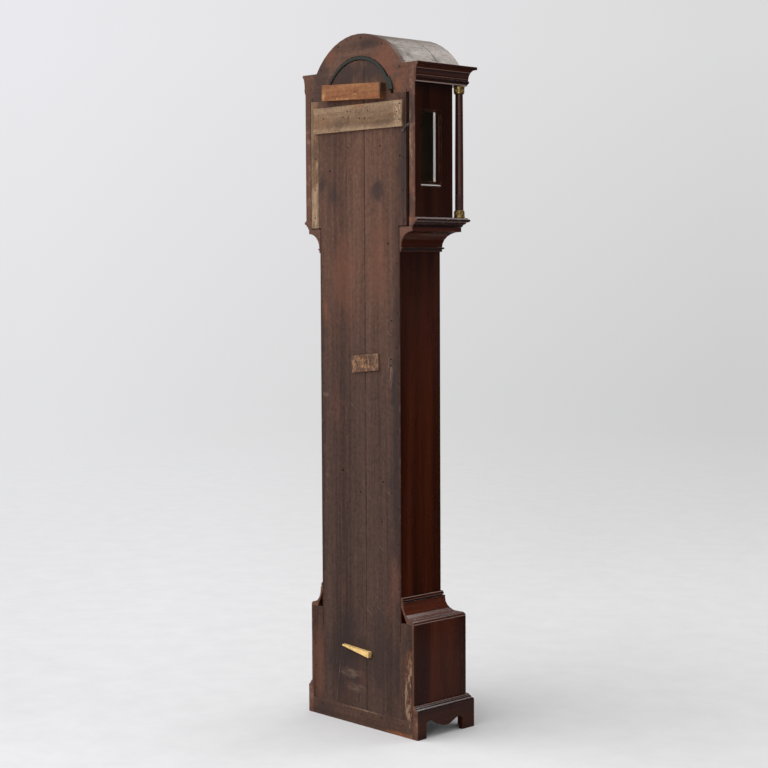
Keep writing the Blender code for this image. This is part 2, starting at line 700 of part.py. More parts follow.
def make_skirting():
    reach = SKIRT_X
    top = SKIRT_TOP_Z
    shoulder = top - SKIRT_MOULDING
    ring = [(BASE_X + GAP, BASE_DEPTH + GAP, top), (BASE_X + GAP, BASE_DEPTH + GAP, 0)]
    ring += [(reach, SKIRT_DEPTH, 0), (reach, SKIRT_DEPTH, shoulder)]
    for inset, share in ((0.002, 0.15), (0.006, 0.35), (0.007, 0.55), (0.010, 0.70), (0.012, 1.0)):
        ring.append((reach - inset, SKIRT_DEPTH - inset, shoulder + SKIRT_MOULDING * share))
    skirting = wrapped("skirting", ring, "mahogany")
    foot_x = reach - FRONT_FOOT
    peak_x = foot_x - 0.030
    below = -0.02
    front = [(foot_x, below), (foot_x, APRON_PEAK_Z - 0.020), (foot_x - 0.008, APRON_PEAK_Z - 0.008)]
    half = wave((peak_x, APRON_PEAK_Z), (0, APRON_DROP_Z))
    front += half + [(-x, z) for x, z in reversed(half[:-1])]
    front += [(-foot_x + 0.008, APRON_PEAK_Z - 0.008), (-foot_x, APRON_PEAK_Z - 0.020), (-foot_x, below)]
    through = (BASE_DEPTH - 0.01, SKIRT_DEPTH + 0.01)
    front_cut = plate("front_apron_cut", [front], *through, "", standing(), True)
    front_foot = SKIRT_DEPTH - FRONT_FOOT
    rear_peak = REAR_FOOT + 0.006
    front_peak = front_foot - 0.012
    drop = (rear_peak + front_peak) / 2 + 0.012
    side = [(REAR_FOOT, below), (REAR_FOOT, APRON_PEAK_Z - 0.010)]
    side += wave((rear_peak, APRON_PEAK_Z), (drop, APRON_DROP_Z))
    side += wave((drop, APRON_DROP_Z), (front_peak, APRON_FRONT_PEAK_Z))[1:]
    side += [(front_foot, APRON_FRONT_PEAK_Z - 0.010), (front_foot, below)]
    side_cut = plate("side_apron_cut", [side], -reach - 0.01, reach + 0.01, "", sideways(), True)
    cut(skirting, front_cut, side_cut)


def make_hood():
    """The hood that slides forwards: sides, arched back and roof, front frame, cornice, base, columns."""
    frame = standing()
    for name, sign in (("left", -1), ("right", 1)):
        make_hood_side(name, sign)
        make_column(name, sign)
    inner = HOOD_INNER_X - GAP
    shoulder = SHOULDER_Z - GAP
    spring = arch_spring(ARCH_RADIUS - GAP, shoulder)
    crown = arc(ARCH_RADIUS - GAP, ARCH_CENTRE_Z, spring, pi - spring, ARCH_STATIONS)
    cut_spring = arch_spring(REAR_CUT_RADIUS, REAR_ARCH_BOTTOM_Z)
    hollow = arc(REAR_CUT_RADIUS, ARCH_CENTRE_Z, pi - cut_spring, cut_spring, ARCH_STATIONS)
    rear = [(inner, REAR_ARCH_BOTTOM_Z), (inner, shoulder)] + crown + [(-inner, shoulder)]
    rear += [(-inner, REAR_ARCH_BOTTOM_Z)] + hollow
    plate("hood_rear_arch", [rear], 0, REAR_ARCH_THICKNESS, "old_board", frame)
    low = shoulder - ROOF_BOARD
    under = ARCH_RADIUS - GAP - ROOF_BOARD
    under_spring = arch_spring(under, low)
    roof = [(inner, low), (inner, shoulder)] + crown + [(-inner, shoulder), (-inner, low)]
    roof += arc(under, ARCH_CENTRE_Z, pi - under_spring, under_spring, ARCH_STATIONS)
    plate("hood_roof", [roof], REAR_ARCH_THICKNESS + GAP, FRAME_DEPTH - GAP, "dusty_board", frame)
    make_hood_front(inner, shoulder, crown)
    make_cornice()
    make_hood_base()


def make_hood_side(name, sign):
    outline = rectangle(0, HOOD_SIDE_DEPTH, HOOD_FLOOR_Z + GAP, SHOULDER_Z - GAP)
    walls = sorted((-sign * HOOD_X, -sign * HOOD_INNER_X))
    side = plate(f"hood_side_{name}", [outline], *walls, "mahogany", sideways())
    (near, far), (low, high) = WINDOW_DEPTHS, WINDOW_Z
    edge = WINDOW_SUNK_EDGE
    rebate = WINDOW_REBATE
    pane_x = HOOD_INNER_X + 2 * PANE
    far_out = HOOD_X + 0.02
    through = sorted((sign * (HOOD_INNER_X - 0.02), sign * far_out))
    sunk = sorted((sign * (HOOD_X - WINDOW_SUNK), sign * far_out))
    inside = sorted((sign * (HOOD_INNER_X - 0.02), sign * pane_x))
    opening = block(f"window_opening_{name}", through, (near, far), (low, high), helper=True)
    sinking = block(
        f"window_sinking_{name}",
        sunk,
        (near - edge, far + edge),
        (low - WINDOW_SILL, high + edge),
        helper=True,
    )
    bed = block(
        f"window_bed_{name}",
        inside,
        (near - rebate, far + rebate),
        (low - rebate, high + rebate),
        helper=True,
    )
    cut(side, opening, sinking, bed)
    spare = rebate - GAP
    glass = sorted((sign * (pane_x - GAP), sign * (pane_x - GAP - PANE)))
    block(f"hood_window_{name}", glass, (near - spare, far + spare), (low - spare, high + spare), "glass")


def make_column(name, sign):
    """A plain tapered shaft between turned base and capital rings."""
    low = HOOD_FLOOR_Z + GAP
    high = CORNICE_BOTTOM_Z - GAP
    shaft = COLUMN_RADIUS
    ring = shaft + 0.0025
    cap = COLUMN_CAP
    upper = shaft * 0.9
    profile = [(0, high), (ring, high), (ring, high - cap * 0.22), (ring - 0.0025, high - cap * 0.30)]
    profile += [(upper + 0.0008, high - cap * 0.62), (upper + 0.0022, high - cap * 0.80)]
    profile += [(upper, high - cap)]
    profile += [(shaft, (low + high) / 2 - 0.05), (shaft, low + cap), (shaft + 0.0025, low + cap * 0.82)]
    profile += [(shaft + 0.001, low + cap * 0.62), (ring, low + cap * 0.42), (ring, low + cap * 0.25)]
    profile += [(ring + 0.001, low + cap * 0.22), (ring + 0.001, low), (0, low)]
    turned(f"column_{name}", profile, 14, "mahogany", upright(sign * COLUMN_X, COLUMN_DEPTH))


def make_hood_front(inner, shoulder, crown):
    """The frame that the door shuts against, with the frieze band above the door."""
    frame = standing()
    outer = [(-inner, HOOD_FLOOR_Z + GAP), (inner, HOOD_FLOOR_Z + GAP), (inner, shoulder)]
    outer += crown + [(-inner, shoulder)]
    opening = arched(FRAME_REACH, DIAL_BOTTOM_Z - 0.007, REAR_ARCH_BOTTOM_Z, DIAL_ARCH + 0.009)
    depths = (FRAME_DEPTH, FRAME_DEPTH + FRAME_THICKNESS)
    board = plate("hood_front", [outer, opening], *depths, "mahogany", frame)
    low = HOOD_DOOR_SHOULDER_Z + DOOR_CLEARANCE
    high = CORNICE_BOTTOM_Z - GAP
    door_arch = HOOD_DOOR_ARCH + DOOR_CLEARANCE
    start = arch_spring(SOFFIT_RADIUS - GAP, high)
    end = arch_spring(door_arch, low)
    reach = inner - GAP
    band = [(reach, low), (reach, high)]
    band += arc(SOFFIT_RADIUS - GAP, ARCH_CENTRE_Z, start, pi - start, ARCH_STATIONS)
    band += [(-reach, high), (-reach, low)] + arc(door_arch, ARCH_CENTRE_Z, pi - end, end, ARCH_STATIONS)
    depths = (FRAME_DEPTH + FRAME_THICKNESS / 2, DOOR_DEPTH + HOOD_DOOR_THICKNESS)
    join(board, plate("frieze_band", [band], *depths, "", frame, True))


def make_cornice():
    """The moulded cornice: up one side, along the front, over the arch and back along the other side."""
    top_side = CORNICE_X
    wall = HOOD_X + GAP
    back = HOOD_SIDE_DEPTH + GAP
    lip = CORNICE_SIDE_LIP
    cove_low = 0.25
    cove_high = 0.86
    profile = [(None, 1.0), (None, 0.0), (0.0, 0.0), (0.10, 0.10), (0.22, 0.16), (0.22, 0.25)]
    for i in range(COVE_STEPS):
        turn = pi / 2 * i / (COVE_STEPS - 1)
        profile.append((0.13 + 0.75 * (1 - cos(turn)), cove_low + (cove_high - cove_low) * sin(turn)))
    profile += [(1.0, cove_high), (1.0, 1.0)]

    def reach(out):
        return wall if out is None else wall + lip + (top_side - wall - lip) * out

    def depth(out):
        return back if out is None else FRIEZE_DEPTH + (CORNICE_DEPTH - FRIEZE_DEPTH) * out

    def level(share):
        return CORNICE_BOTTOM_Z + CORNICE_HEIGHT * share

    def side(sign, at_back):
        return [
            (sign * reach(out), BACK_Y - (0.0 if at_back else depth(out)), level(share))
            for out, share in profile
        ]

    def over_arch(turn):
        ring = []
        for out, share in profile:
            radius = SOFFIT_RADIUS + CORNICE_HEIGHT * share
            spring = arch_spring(radius, level(share))
            angle = pi / 2 - turn * (pi / 2 - spring)
            ring.append((radius * cos(angle), BACK_Y - depth(out), ARCH_CENTRE_Z + radius * sin(angle)))
        return ring

    rings = [side(1, True), side(1, False)]
    rings += [over_arch(1 - 2 * i / ARCH_STATIONS) for i in range(ARCH_STATIONS + 1)]
    rings += [side(-1, False), side(-1, True)]
    loft("hood_cornice", rings, "mahogany")


def make_hood_base():
    tip_x = HOOD_BASE_X
    tip_depth = HOOD_BASE_DEPTH
    height = HOOD_FLOOR_Z - HOOD_BOTTOM_Z
    inner = HOOD_X - HOOD_BASE_RAIL
    ring = [(inner, FRAME_DEPTH, HOOD_FLOOR_Z), (inner, FRAME_DEPTH, HOOD_BOTTOM_Z)]
    edge = ((0.0175, 0.0), (0.0165, 0.20), (0.010, 0.36), (0.009, 0.48), (0.003, 0.55))
    edge += ((0.0, 0.66), (0.0, 0.78), (0.002, 0.86), (0.005, 0.88), (0.006, 1.0))
    ring += [(tip_x - inset, tip_depth - inset, HOOD_BOTTOM_Z + height * share) for inset, share in edge]
    wrapped("hood_base", ring, "mahogany")


def make_hood_door():
    """A glazed arched door that turns on the rounded edge of its right stile."""
    half = HOOD_DOOR_THICKNESS / 2
    hinge_x = HOOD_DOOR_REACH - half
    hinge_depth = DOOR_DEPTH + half
    frame = standing(hinge_x, 0, hinge_depth)
    bottom = HOOD_FLOOR_Z + 0.0025

    def glass_outline(out):
        points = arched(
            HOOD_DOOR_REACH - HOOD_DOOR_STILE + out,
            bottom + HOOD_DOOR_RAIL - out,
            HOOD_DOOR_SHOULDER_Z - HOOD_DOOR_HEAD + out,
            HOOD_DOOR_ARCH - HOOD_DOOR_HEAD + out,
        )
        return [(x - hinge_x, z) for x, z in points]

    edge = arched(HOOD_DOOR_REACH, bottom, HOOD_DOOR_SHOULDER_Z, HOOD_DOOR_ARCH, right_reach=hinge_x)
    edge = [(x - hinge_x, z) for x, z in edge]
    door = plate("hood_door", [edge, glass_outline(0)], -half, half, "mahogany", frame)
    round_edge = rod(
        "hood_door_edge", half - RUN_CLEARANCE, bottom + GAP, HOOD_DOOR_SHOULDER_Z - GAP, "",
        upright(hinge_x, hinge_depth), True,
    )
    pin_z = (HOOD_FLOOR_Z + GAP, HOOD_DOOR_SHOULDER_Z + DOOR_CLEARANCE - GAP)
    pin = rod("hood_door_pin", HOOD_DOOR_PIN, *pin_z, "", upright(hinge_x, hinge_depth), True, 12)
    join(door, round_edge, pin)
    bed = half - HOOD_DOOR_BEAD
    rebate = plate("hood_door_bed", [glass_outline(HOOD_DOOR_GLASS_LIP)], -2 * half, bed, "", frame, True)
    cut(door, rebate)
    pane = glass_outline(HOOD_DOOR_GLASS_LIP - GAP)
    plate("hood_door_glass", [pane], bed - GAP - PANE, bed - GAP, "glass", frame)


def make_trunk_door():
    """A lipped arched door on two surface hinges, with a lock whose bolt slides behind the frame."""
    hinge_x = TRUNK_DOOR_WIDTH / 2 + TRUNK_DOOR_LIP + HINGE_KNUCKLE + GAP
    hinge_depth = TRUNK_DEPTH + HINGE_KNUCKLE + GAP
    frame = standing(hinge_x, 0, hinge_depth)
    back = TRUNK_DEPTH - TRUNK_FRONT_WALL - hinge_depth
    lip_back = TRUNK_DEPTH + GAP - hinge_depth
    lip_front = lip_back + TRUNK_DOOR_LIP_THICKNESS
    lip = trunk_door_outline(TRUNK_DOOR_LIP, hinge_x)
    body = trunk_door_outline(-DOOR_CLEARANCE / 2, hinge_x)
    door = plate("trunk_door", [lip], lip_back, lip_front, "mahogany", frame)
    middle = (lip_back + lip_front) / 2
    join(door, plate("trunk_door_body", [body], back, middle, "", frame, True))
    low, high = TRUNK_DOOR_Z
    for name, z in (("lower", low + HINGE_INSET), ("upper", high - HINGE_INSET)):
        heights = (z - HINGE_LENGTH / 2, z + HINGE_LENGTH / 2)
        leaf_depths = (TRUNK_DEPTH + GAP, TRUNK_DEPTH + GAP + HINGE_PLATE)
        hinge = block(f"trunk_hinge_{name}", (hinge_x, hinge_x + HINGE_LEAF), leaf_depths, heights, "brass")
        knuckle = rod(
            f"hinge_knuckle_{name}", HINGE_KNUCKLE - RUN_CLEARANCE, heights[0] - GAP, heights[1] + GAP, "",
            upright(hinge_x, hinge_depth), True, 12,
        )
        join(hinge, knuckle)
    make_lock()


def make_lock():
    edge = -TRUNK_DOOR_WIDTH / 2 + DOOR_CLEARANCE / 2
    back = TRUNK_DEPTH - TRUNK_FRONT_WALL - GAP
    width, height = LOCK_SIZE
    depths = (back - LOCK_THICKNESS, back)
    heights = (LOCK_Z - height / 2, LOCK_Z + height / 2)
    lock = block("trunk_lock", (edge, edge + width), depths, heights, "iron")
    bolt_depth = back - LOCK_THICKNESS / 2
    length, tall = BOLT_SIZE
    start = edge + BOLT_RETRACTED
    bolt_depths = (bolt_depth - BOLT_THICKNESS / 2, bolt_depth + BOLT_THICKNESS / 2)
    bolt_heights = (LOCK_Z - tall / 2, LOCK_Z + tall / 2)
    slot_depths = (bolt_depths[0] - GAP, bolt_depths[1] + GAP)
    slot_heights = (bolt_heights[0] - GAP, bolt_heights[1] + GAP)
    slot = (edge - 0.01, start + length + GAP)
    cut(lock, block("lock_slot", slot, slot_depths, slot_heights, helper=True))
    block("lock_bolt", (start, start + length), bolt_depths, bolt_heights, "iron")


def make_hook():
    """The iron hook behind the hood's left stile, which turns on a screw in the backboard's strip."""
    half = HOOK_WIRE
    opening = asin(half / HOOK_EYE)
    eye = [opening + (2 * pi - 2 * opening) * i / 10 for i in range(11)]
    edge = [(HOOK_EYE * cos(a), HOOK_EYE * sin(a)) for a in eye]
    outer = HOOK_CURL
    inner = HOOK_CURL - 2 * half
    turns = [radians(-90 + 205 * i / 6) for i in range(7)]
    middle = (HOOK_REACH, outer - half)
    edge += [(middle[0] + outer * cos(a), middle[1] + outer * sin(a)) for a in turns]
    edge += [(middle[0] + inner * cos(a), middle[1] + inner * sin(a)) for a in reversed(turns)]
    lean = Matrix.Rotation(pi - HOOK_ANGLE, 2)
    edge = [tuple(lean @ Vector(point)) for point in edge]
    loops = [edge, circle(HOOK_EYE / 2, steps=8)]
    plate("hood_hook", loops, -GAP - 2 * half, -GAP, "iron", standing(*HOOK_PIVOT))


def gear(teeth, module, width, phase):
    """Outline of a wheel or pinion with pointed teeth, one of which points along the phase angle."""
    pitch = 2 * pi / teeth
    radius = module * teeth / 2
    root = radius - TOOTH_ROOT * module
    tip = radius + TOOTH_TIP * module
    corners = ((root, -0.5), (tip, 0), (root, 0.5))
    points = []
    for i in range(teeth):
        for distance, share in corners:
            angle = phase + pitch * (i + share * width)
            points.append((distance * cos(angle), distance * sin(angle)))
    return points


def facing_gap(direction, teeth):
    """The phase of a pinion whose gap faces back along the direction that its wheel's tooth points in."""
    return direction + pi + pi / teeth


def crossings(inner, outer, arms, arm):
    """Holes between the arms of a wheel."""
    loops = []
    for i in range(arms):
        loop = []
        for radius, flip in ((outer, 1), (inner, -1)):
            half = pi / arms - asin(arm / 2 / radius)
            steps = 3 if flip > 0 else 1
            for k in range(steps + 1):
                angle = 2 * pi * i / arms + flip * half * (2 * k / steps - 1)
                loop.append((radius * cos(angle), radius * sin(angle)))
        loops.append(loop)
    return loops


def wheel(name, outline, rim, hub, layer, kind, frame, bore=None):
    """A crossed-out wheel in its layer between the plates."""
    loops = [outline] + crossings(hub, rim, 4, WHEEL_ARM)
    if bore:
        loops.append(circle(bore))
    return plate(name, loops, layer, layer + WHEEL_THICKNESS, kind, frame)


def arbor(name, radius, pivot, low, high, frame, front=None):
    """A helper shaft: a thick part between low and high, thinner pivots beyond them."""
    back_end = BACK_PLATE_DEPTH + PLATE_THICKNESS / 6
    front_end = FRONT_PLATE_DEPTH + PLATE_THICKNESS * 5 / 6 if front is None else front
    profile = [(0, front_end), (pivot, front_end), (pivot, high), (radius, high), (radius, low)]
    profile += [(pivot, low), (pivot, back_end), (0, back_end)]
    return turned(name, profile, 8, "", frame, True)


def pinion(name, teeth, module, phase, layer, frame):
    middle = layer + WHEEL_THICKNESS / 2
    outline = gear(teeth, module, LEAF_WIDTH, phase)
    return plate(name, [outline], middle - PINION_LENGTH / 2, middle + PINION_LENGTH / 2, "", frame, True)


def third_place():
    """Where the third arbor stands, at its two mesh distances from the centre and the escape arbor."""
    along = (THIRD_DISTANCE ** 2 - ESCAPE_DISTANCE ** 2 + SECONDS_OFFSET ** 2) / (2 * SECONDS_OFFSET)
    return sqrt(THIRD_DISTANCE ** 2 - along ** 2), DIAL_CENTRE_Z + along


def make_train():
    """Barrel, great, centre, third and escape wheels between the plates."""
    low = BACK_PLATE_DEPTH + PLATE_THICKNESS + 0.001
    high = FRONT_PLATE_DEPTH - 0.001
    third_x, third_z = third_place()
    to_third = atan2(third_z - DIAL_CENTRE_Z, third_x)
    to_escape = atan2(ESCAPE_Z - third_z, -third_x)
    make_barrel(low, high)
    great_frame = standing(0, BARREL_Z)
    great = gear(GREAT_TEETH, GREAT_MODULE, TOOTH_WIDTH, pi / 2)
    great_radius = GREAT_MODULE * GREAT_TEETH / 2
    wheel("great_wheel", great, great_radius - 0.006, 0.016, GREAT_LAYER, "brass", great_frame,
          BARREL_ARBOR + RUN_CLEARANCE)
    frame = standing(0, DIAL_CENTRE_Z)
    radius = CENTRE_MODULE * CENTRE_TEETH / 2
    teeth = gear(CENTRE_TEETH, CENTRE_MODULE, TOOTH_WIDTH, to_third)
    leaf = facing_gap(pi / 2, CENTRE_PINION)
    centre = wheel("centre_wheel", teeth, radius - 0.004, 0.0065, CENTRE_LAYER, "brass", frame)
    join(
        centre,
        arbor("centre_arbor", CENTRE_ARBOR_RADIUS, PIVOT_RADIUS, low, CENTRE_FRONT_DEPTH - 0.001, frame,
              CENTRE_FRONT_DEPTH),
        pinion("centre_pinion", CENTRE_PINION, GREAT_MODULE, leaf, GREAT_LAYER, frame),
    )
    frame = standing(third_x, third_z)
    radius = THIRD_MODULE * THIRD_TEETH / 2
    teeth = gear(THIRD_TEETH, THIRD_MODULE, TOOTH_WIDTH, to_escape)
    leaf = facing_gap(to_third, THIRD_PINION)
    third = wheel("third_wheel", teeth, radius - 0.004, 0.006, THIRD_LAYER, "brass", frame)
    join(
        third,
        arbor("third_arbor", ARBOR_RADIUS, PIVOT_RADIUS, low, high, frame),
        pinion("third_pinion", THIRD_PINION, CENTRE_MODULE, leaf, CENTRE_LAYER, frame),
    )
    frame = standing(0, ESCAPE_Z)
    rim = ESCAPE_RADIUS - 0.009
    leaf = facing_gap(to_escape, ESCAPE_PINION)
    escape = wheel("escape_wheel", escape_outline(), rim, 0.0055, ESCAPE_LAYER, "brass", frame)
    join(
        escape,
        arbor("escape_arbor", ARBOR_RADIUS, PIVOT_RADIUS, low, high, frame, SECONDS_HAND_DEPTH + 0.0023),
        pinion("escape_pinion", ESCAPE_PINION, THIRD_MODULE, leaf, THIRD_LAYER, frame),
    )


def escape_outline():
    """Thin raked teeth that come to narrow tips."""
    pitch = 2 * pi / ESCAPE_TEETH
    root = ESCAPE_RADIUS - 0.0035
    points = []
    for i in range(ESCAPE_TEETH):
        for distance, share in ((root, -0.05), (ESCAPE_RADIUS, 0.30), (root, 0.45)):
            angle = -pitch * (i + share)
            points.append((distance * cos(angle), distance * sin(angle)))
    return points


def make_barrel(low, high):
    frame = standing(0, BARREL_Z)
    start, end = BARREL_SPAN
    front = DIAL_DEPTH + DIAL_THICKNESS + 0.003
    collar = FRONT_PLATE_DEPTH + PLATE_THICKNESS + 0.001
    back_end = BACK_PLATE_DEPTH + PLATE_THICKNESS / 6
    profile = [(0, collar), (BARREL_PIVOT, collar), (BARREL_PIVOT, high)]
    profile += [(BARREL_ARBOR, high), (BARREL_ARBOR, end)]
    profile += [(BARREL_FLANGE, end), (BARREL_FLANGE, end - 0.002), (BARREL_RADIUS, end - 0.0025)]
    profile += [(BARREL_RADIUS, start + 0.0025), (BARREL_FLANGE, start + 0.002), (BARREL_FLANGE, start)]
    profile += [(BARREL_ARBOR, start), (BARREL_ARBOR, low), (BARREL_PIVOT, low)]
    profile += [(BARREL_PIVOT, back_end), (0, back_end)]
    barrel = turned("going_barrel", profile, 16, "brass", frame)
    half = WINDING_SQUARE / 2
    square = rectangle(-half, half, -half, half)
    join(barrel, plate("winding_square", [square], collar - 0.001, front, "", frame, True))


def make_plates():
    """Back plate with its pillars, front plate, the seat board under them and the cock behind."""
    third_x, third_z = third_place()
    frame = standing()
    bottom = SEAT_TOP_Z + GAP
    outline = rectangle(-PLATE_WIDTH / 2, PLATE_WIDTH / 2, bottom, PLATE_TOP_Z)
    barrel_hole = circle(BARREL_PIVOT + RUN_CLEARANCE, 0, BARREL_Z)
    third_hole = circle(PIVOT_HOLE, third_x, third_z, 12)
    escape_hole = circle(PIVOT_HOLE, 0, ESCAPE_Z, 12)
    back_holes = [barrel_hole, circle(PIVOT_HOLE, 0, DIAL_CENTRE_Z, 12), third_hole, escape_hole]
    back_holes.append(circle(3 * ARBOR_RADIUS, 0, ANCHOR_Z, 16))
    front_holes = [barrel_hole, circle(CENTRE_ARBOR_RADIUS + RUN_CLEARANCE, 0, DIAL_CENTRE_Z, 16)]
    front_holes += [third_hole, escape_hole, circle(PIVOT_HOLE, 0, ANCHOR_Z, 12)]
    front_holes.append(circle(PIVOT_HOLE, -CANNON_DISTANCE, DIAL_CENTRE_Z, 12))
    depths = (BACK_PLATE_DEPTH, BACK_PLATE_DEPTH + PLATE_THICKNESS)
    back = plate("back_plate", [outline] + back_holes, *depths, "brass", frame)
    for i, x in enumerate((-PILLAR_X, PILLAR_X)):
        for j, z in enumerate(PILLAR_Z):
            start = BACK_PLATE_DEPTH + PLATE_THICKNESS / 2
            span = (start, FRONT_PLATE_DEPTH - GAP)
            join(back, rod(f"pillar_{i}{j}", PILLAR_RADIUS, *span, "", standing(x, z), True, 8))
    front_depths = (FRONT_PLATE_DEPTH, FRONT_PLATE_DEPTH + PLATE_THICKNESS)
    plate("front_plate", [outline] + front_holes, *front_depths, "brass", frame)
    seat = block("seat_board", (-TRUNK_X, TRUNK_X), SEAT_DEPTHS, (CHEEK_TOP_Z + GAP, SEAT_TOP_Z), "oak")
    slot_x = (-LINE_X - SEAT_SLOT[0] / 2, -LINE_X + SEAT_SLOT[0] / 2)
    slot_depths = (LINE_DEPTH - SEAT_SLOT[1] / 2, LINE_DEPTH + SEAT_SLOT[1] / 2)
    slot = block("line_slot", slot_x, slot_depths, (CHEEK_TOP_Z - 0.01, SEAT_TOP_Z + 0.01), helper=True)
    hole_frame = upright(LINE_X, LINE_DEPTH)
    span = (CHEEK_TOP_Z - 0.01, SEAT_TOP_Z + 0.01)
    hole = rod("line_hole", 2 * LINE_RADIUS, *span, "", hole_frame, True, 12)
    cut(seat, slot, hole)
    make_cock()


def make_cock():
    """The bridge behind the back plate that carries the anchor's pivot and the slotted pendulum block."""
    back, front = COCK_DEPTHS
    half = COCK_HEIGHT / 2
    bar = rectangle(-COCK_REACH, COCK_REACH, ANCHOR_Z - half, ANCHOR_Z + half)
    cock = plate("back_cock", [bar, circle(PIVOT_HOLE, 0, ANCHOR_Z, 12)], back, front, "brass", standing())
    for name, sign in (("left", -1), ("right", 1)):
        across = sorted((sign * (COCK_REACH - GAP), sign * (COCK_REACH - COCK_FOOT)))
        heights = (ANCHOR_Z - half + GAP, ANCHOR_Z + half - GAP)
        depths = ((back + front) / 2, BACK_PLATE_DEPTH - GAP)
        join(cock, block(f"cock_foot_{name}", across, depths, heights, helper=True))
    block_depths = (PENDULUM_DEPTH - SPRING_WIDTH / 2 - 0.003, back + COCK_LAP)
    block_z = (ANCHOR_Z - COCK_BLOCK * 0.6, ANCHOR_Z + COCK_BLOCK * 0.6)
    holder = block("cock_block", (-COCK_BLOCK / 2, COCK_BLOCK / 2), block_depths, block_z, helper=True)
    slot_depths = (PENDULUM_DEPTH - SPRING_WIDTH, PENDULUM_DEPTH + SPRING_WIDTH / 2 + 0.001)
    slot_x = (-SPRING_SLOT / 2, SPRING_SLOT / 2)
    join(cock, holder)
    cut(cock, block("spring_slot", slot_x, slot_depths, (ANCHOR_Z - 0.05, ANCHOR_Z + 0.05), helper=True))


def make_anchor():
    """Anchor arms round the escape wheel, on an arbor with the crutch that pushes the pendulum."""
    frame = standing(0, ANCHOR_Z)
    inner = ESCAPE_RADIUS + ANCHOR_CLEARANCE
    outer = inner + PALLET_THICKNESS
    start = pi / 2 - PALLET_ANGLE
    turns = [start + 2 * PALLET_ANGLE * i / 12 for i in range(13)]
    band = [(outer * cos(a), outer * sin(a) - ANCHOR_RISE) for a in turns]
    band += [(inner * cos(a), inner * sin(a) - ANCHOR_RISE) for a in reversed(turns)]
    layer = (ESCAPE_LAYER - 0.001, ESCAPE_LAYER + WHEEL_THICKNESS + 0.001)
    inside = (layer[0] + GAP, layer[1] - GAP)
    anchor = plate("anchor", [band], *layer, "blued_steel", frame)
    stem = rectangle(-ANCHOR_BAR / 2, ANCHOR_BAR / 2, (inner + outer) / 2 - ANCHOR_RISE, 0)
    join(anchor, plate("anchor_stem", [stem], *inside, "", frame, True))
    front_end = FRONT_PLATE_DEPTH + PLATE_THICKNESS * 5 / 6
    back_end = COCK_DEPTHS[0] + COCK_LAP + GAP
    low = COCK_DEPTHS[1] + 0.0007
    high = FRONT_PLATE_DEPTH - 0.001
    hub = 0.0045
    profile = [(0, front_end), (PIVOT_RADIUS, front_end), (PIVOT_RADIUS, high), (ARBOR_RADIUS, high)]
    profile += [(ARBOR_RADIUS, layer[1] + 0.002), (hub, layer[1] + 0.002), (hub, layer[0] - 0.002)]
    profile += [(ARBOR_RADIUS, layer[0] - 0.002), (ARBOR_RADIUS, low), (PIVOT_RADIUS, low)]
    profile += [(PIVOT_RADIUS, back_end), (0, back_end)]
    join(anchor, turned("anchor_arbor", profile, 8, "", frame, True))
    crutch_depths = (CRUTCH_DEPTH - CRUTCH_THICKNESS / 2, CRUTCH_DEPTH + CRUTCH_THICKNESS / 2)
    half = CRUTCH_WIDTH / 2
    bar = rectangle(-half, half, -CRUTCH_LENGTH, half)
    join(anchor, plate("crutch_bar", [bar], *crutch_depths, "", frame, True))
    prong_in = ROD_RADIUS + 2 * GAP
    prong_out = prong_in + CRUTCH_THICKNESS
    heights = (ANCHOR_Z - CRUTCH_LENGTH - half, ANCHOR_Z - CRUTCH_LENGTH + half)
    yoke_depths = (CRUTCH_DEPTH - CRUTCH_THICKNESS / 2 - GAP, CRUTCH_DEPTH + CRUTCH_THICKNESS / 2 + GAP)
    join(anchor, block("crutch_yoke", (-prong_out, prong_out), yoke_depths, heights, helper=True))
    for name, sign in (("left", -1), ("right", 1)):
        across = sorted((sign * prong_in, sign * (prong_out - GAP)))
        depths = (PENDULUM_DEPTH - 2 * ROD_RADIUS, CRUTCH_DEPTH)
        inset = (heights[0] + GAP, heights[1] - GAP)
        join(anchor, block(f"crutch_prong_{name}", across, depths, inset, helper=True))


def make_pendulum():
    """A spring and rod that hang from the cock, and a lens-shaped bob on a rating nut."""
    frame = standing(0, ANCHOR_Z, PENDULUM_DEPTH)
    shaft = upright(0, PENDULUM_DEPTH, ANCHOR_Z)
    rod_top = -COCK_BLOCK * 0.6 - 0.0015
    nut_low = BOB_Z - BOB_RADIUS - NUT_HEIGHT * 0.7
    rod_end = nut_low - 0.012 - ANCHOR_Z
    half = SPRING_THICKNESS / 2
    spring = rectangle(-half, half, rod_top - 0.004, COCK_BLOCK * 0.6 + 0.002)
    pendulum = plate("pendulum_rod", [spring], -SPRING_WIDTH / 2, SPRING_WIDTH / 2, "iron", frame)
    cap = rectangle(-0.004, 0.004, COCK_BLOCK * 0.6 + 0.001, COCK_BLOCK * 0.6 + 0.005)
    wide = SPRING_WIDTH / 2 + GAP
    join(pendulum, plate("spring_cap", [cap], -wide, wide, "", frame, True))
    join(pendulum, rod("pendulum_shaft", ROD_RADIUS, rod_end, rod_top, "", shaft, True, 12))
    half = BOB_THICKNESS / 2
    lens = [(0, half)]
    for share, thick in ((0.35, 0.94), (0.65, 0.74), (0.88, 0.40), (1.0, 0.16)):
        lens.append((BOB_RADIUS * share, half * thick))
    lens += [(radius, -thick) for radius, thick in reversed(lens)]
    bob_frame = standing(0, BOB_Z, PENDULUM_DEPTH)
    bob = turned("pendulum_bob", lens, 20, "brass", bob_frame)
    vertical = upright(0, PENDULUM_DEPTH)
    nut = rod("rating_nut", NUT_RADIUS, nut_low, nut_low + NUT_HEIGHT, "", vertical, True, 16)
    span = (nut_low - 0.05, BOB_Z + BOB_RADIUS + 0.05)
    bore = rod("bob_bore", ROD_RADIUS + RUN_CLEARANCE, *span, "", vertical, True, 12)
    cut(join(bob, nut), bore)


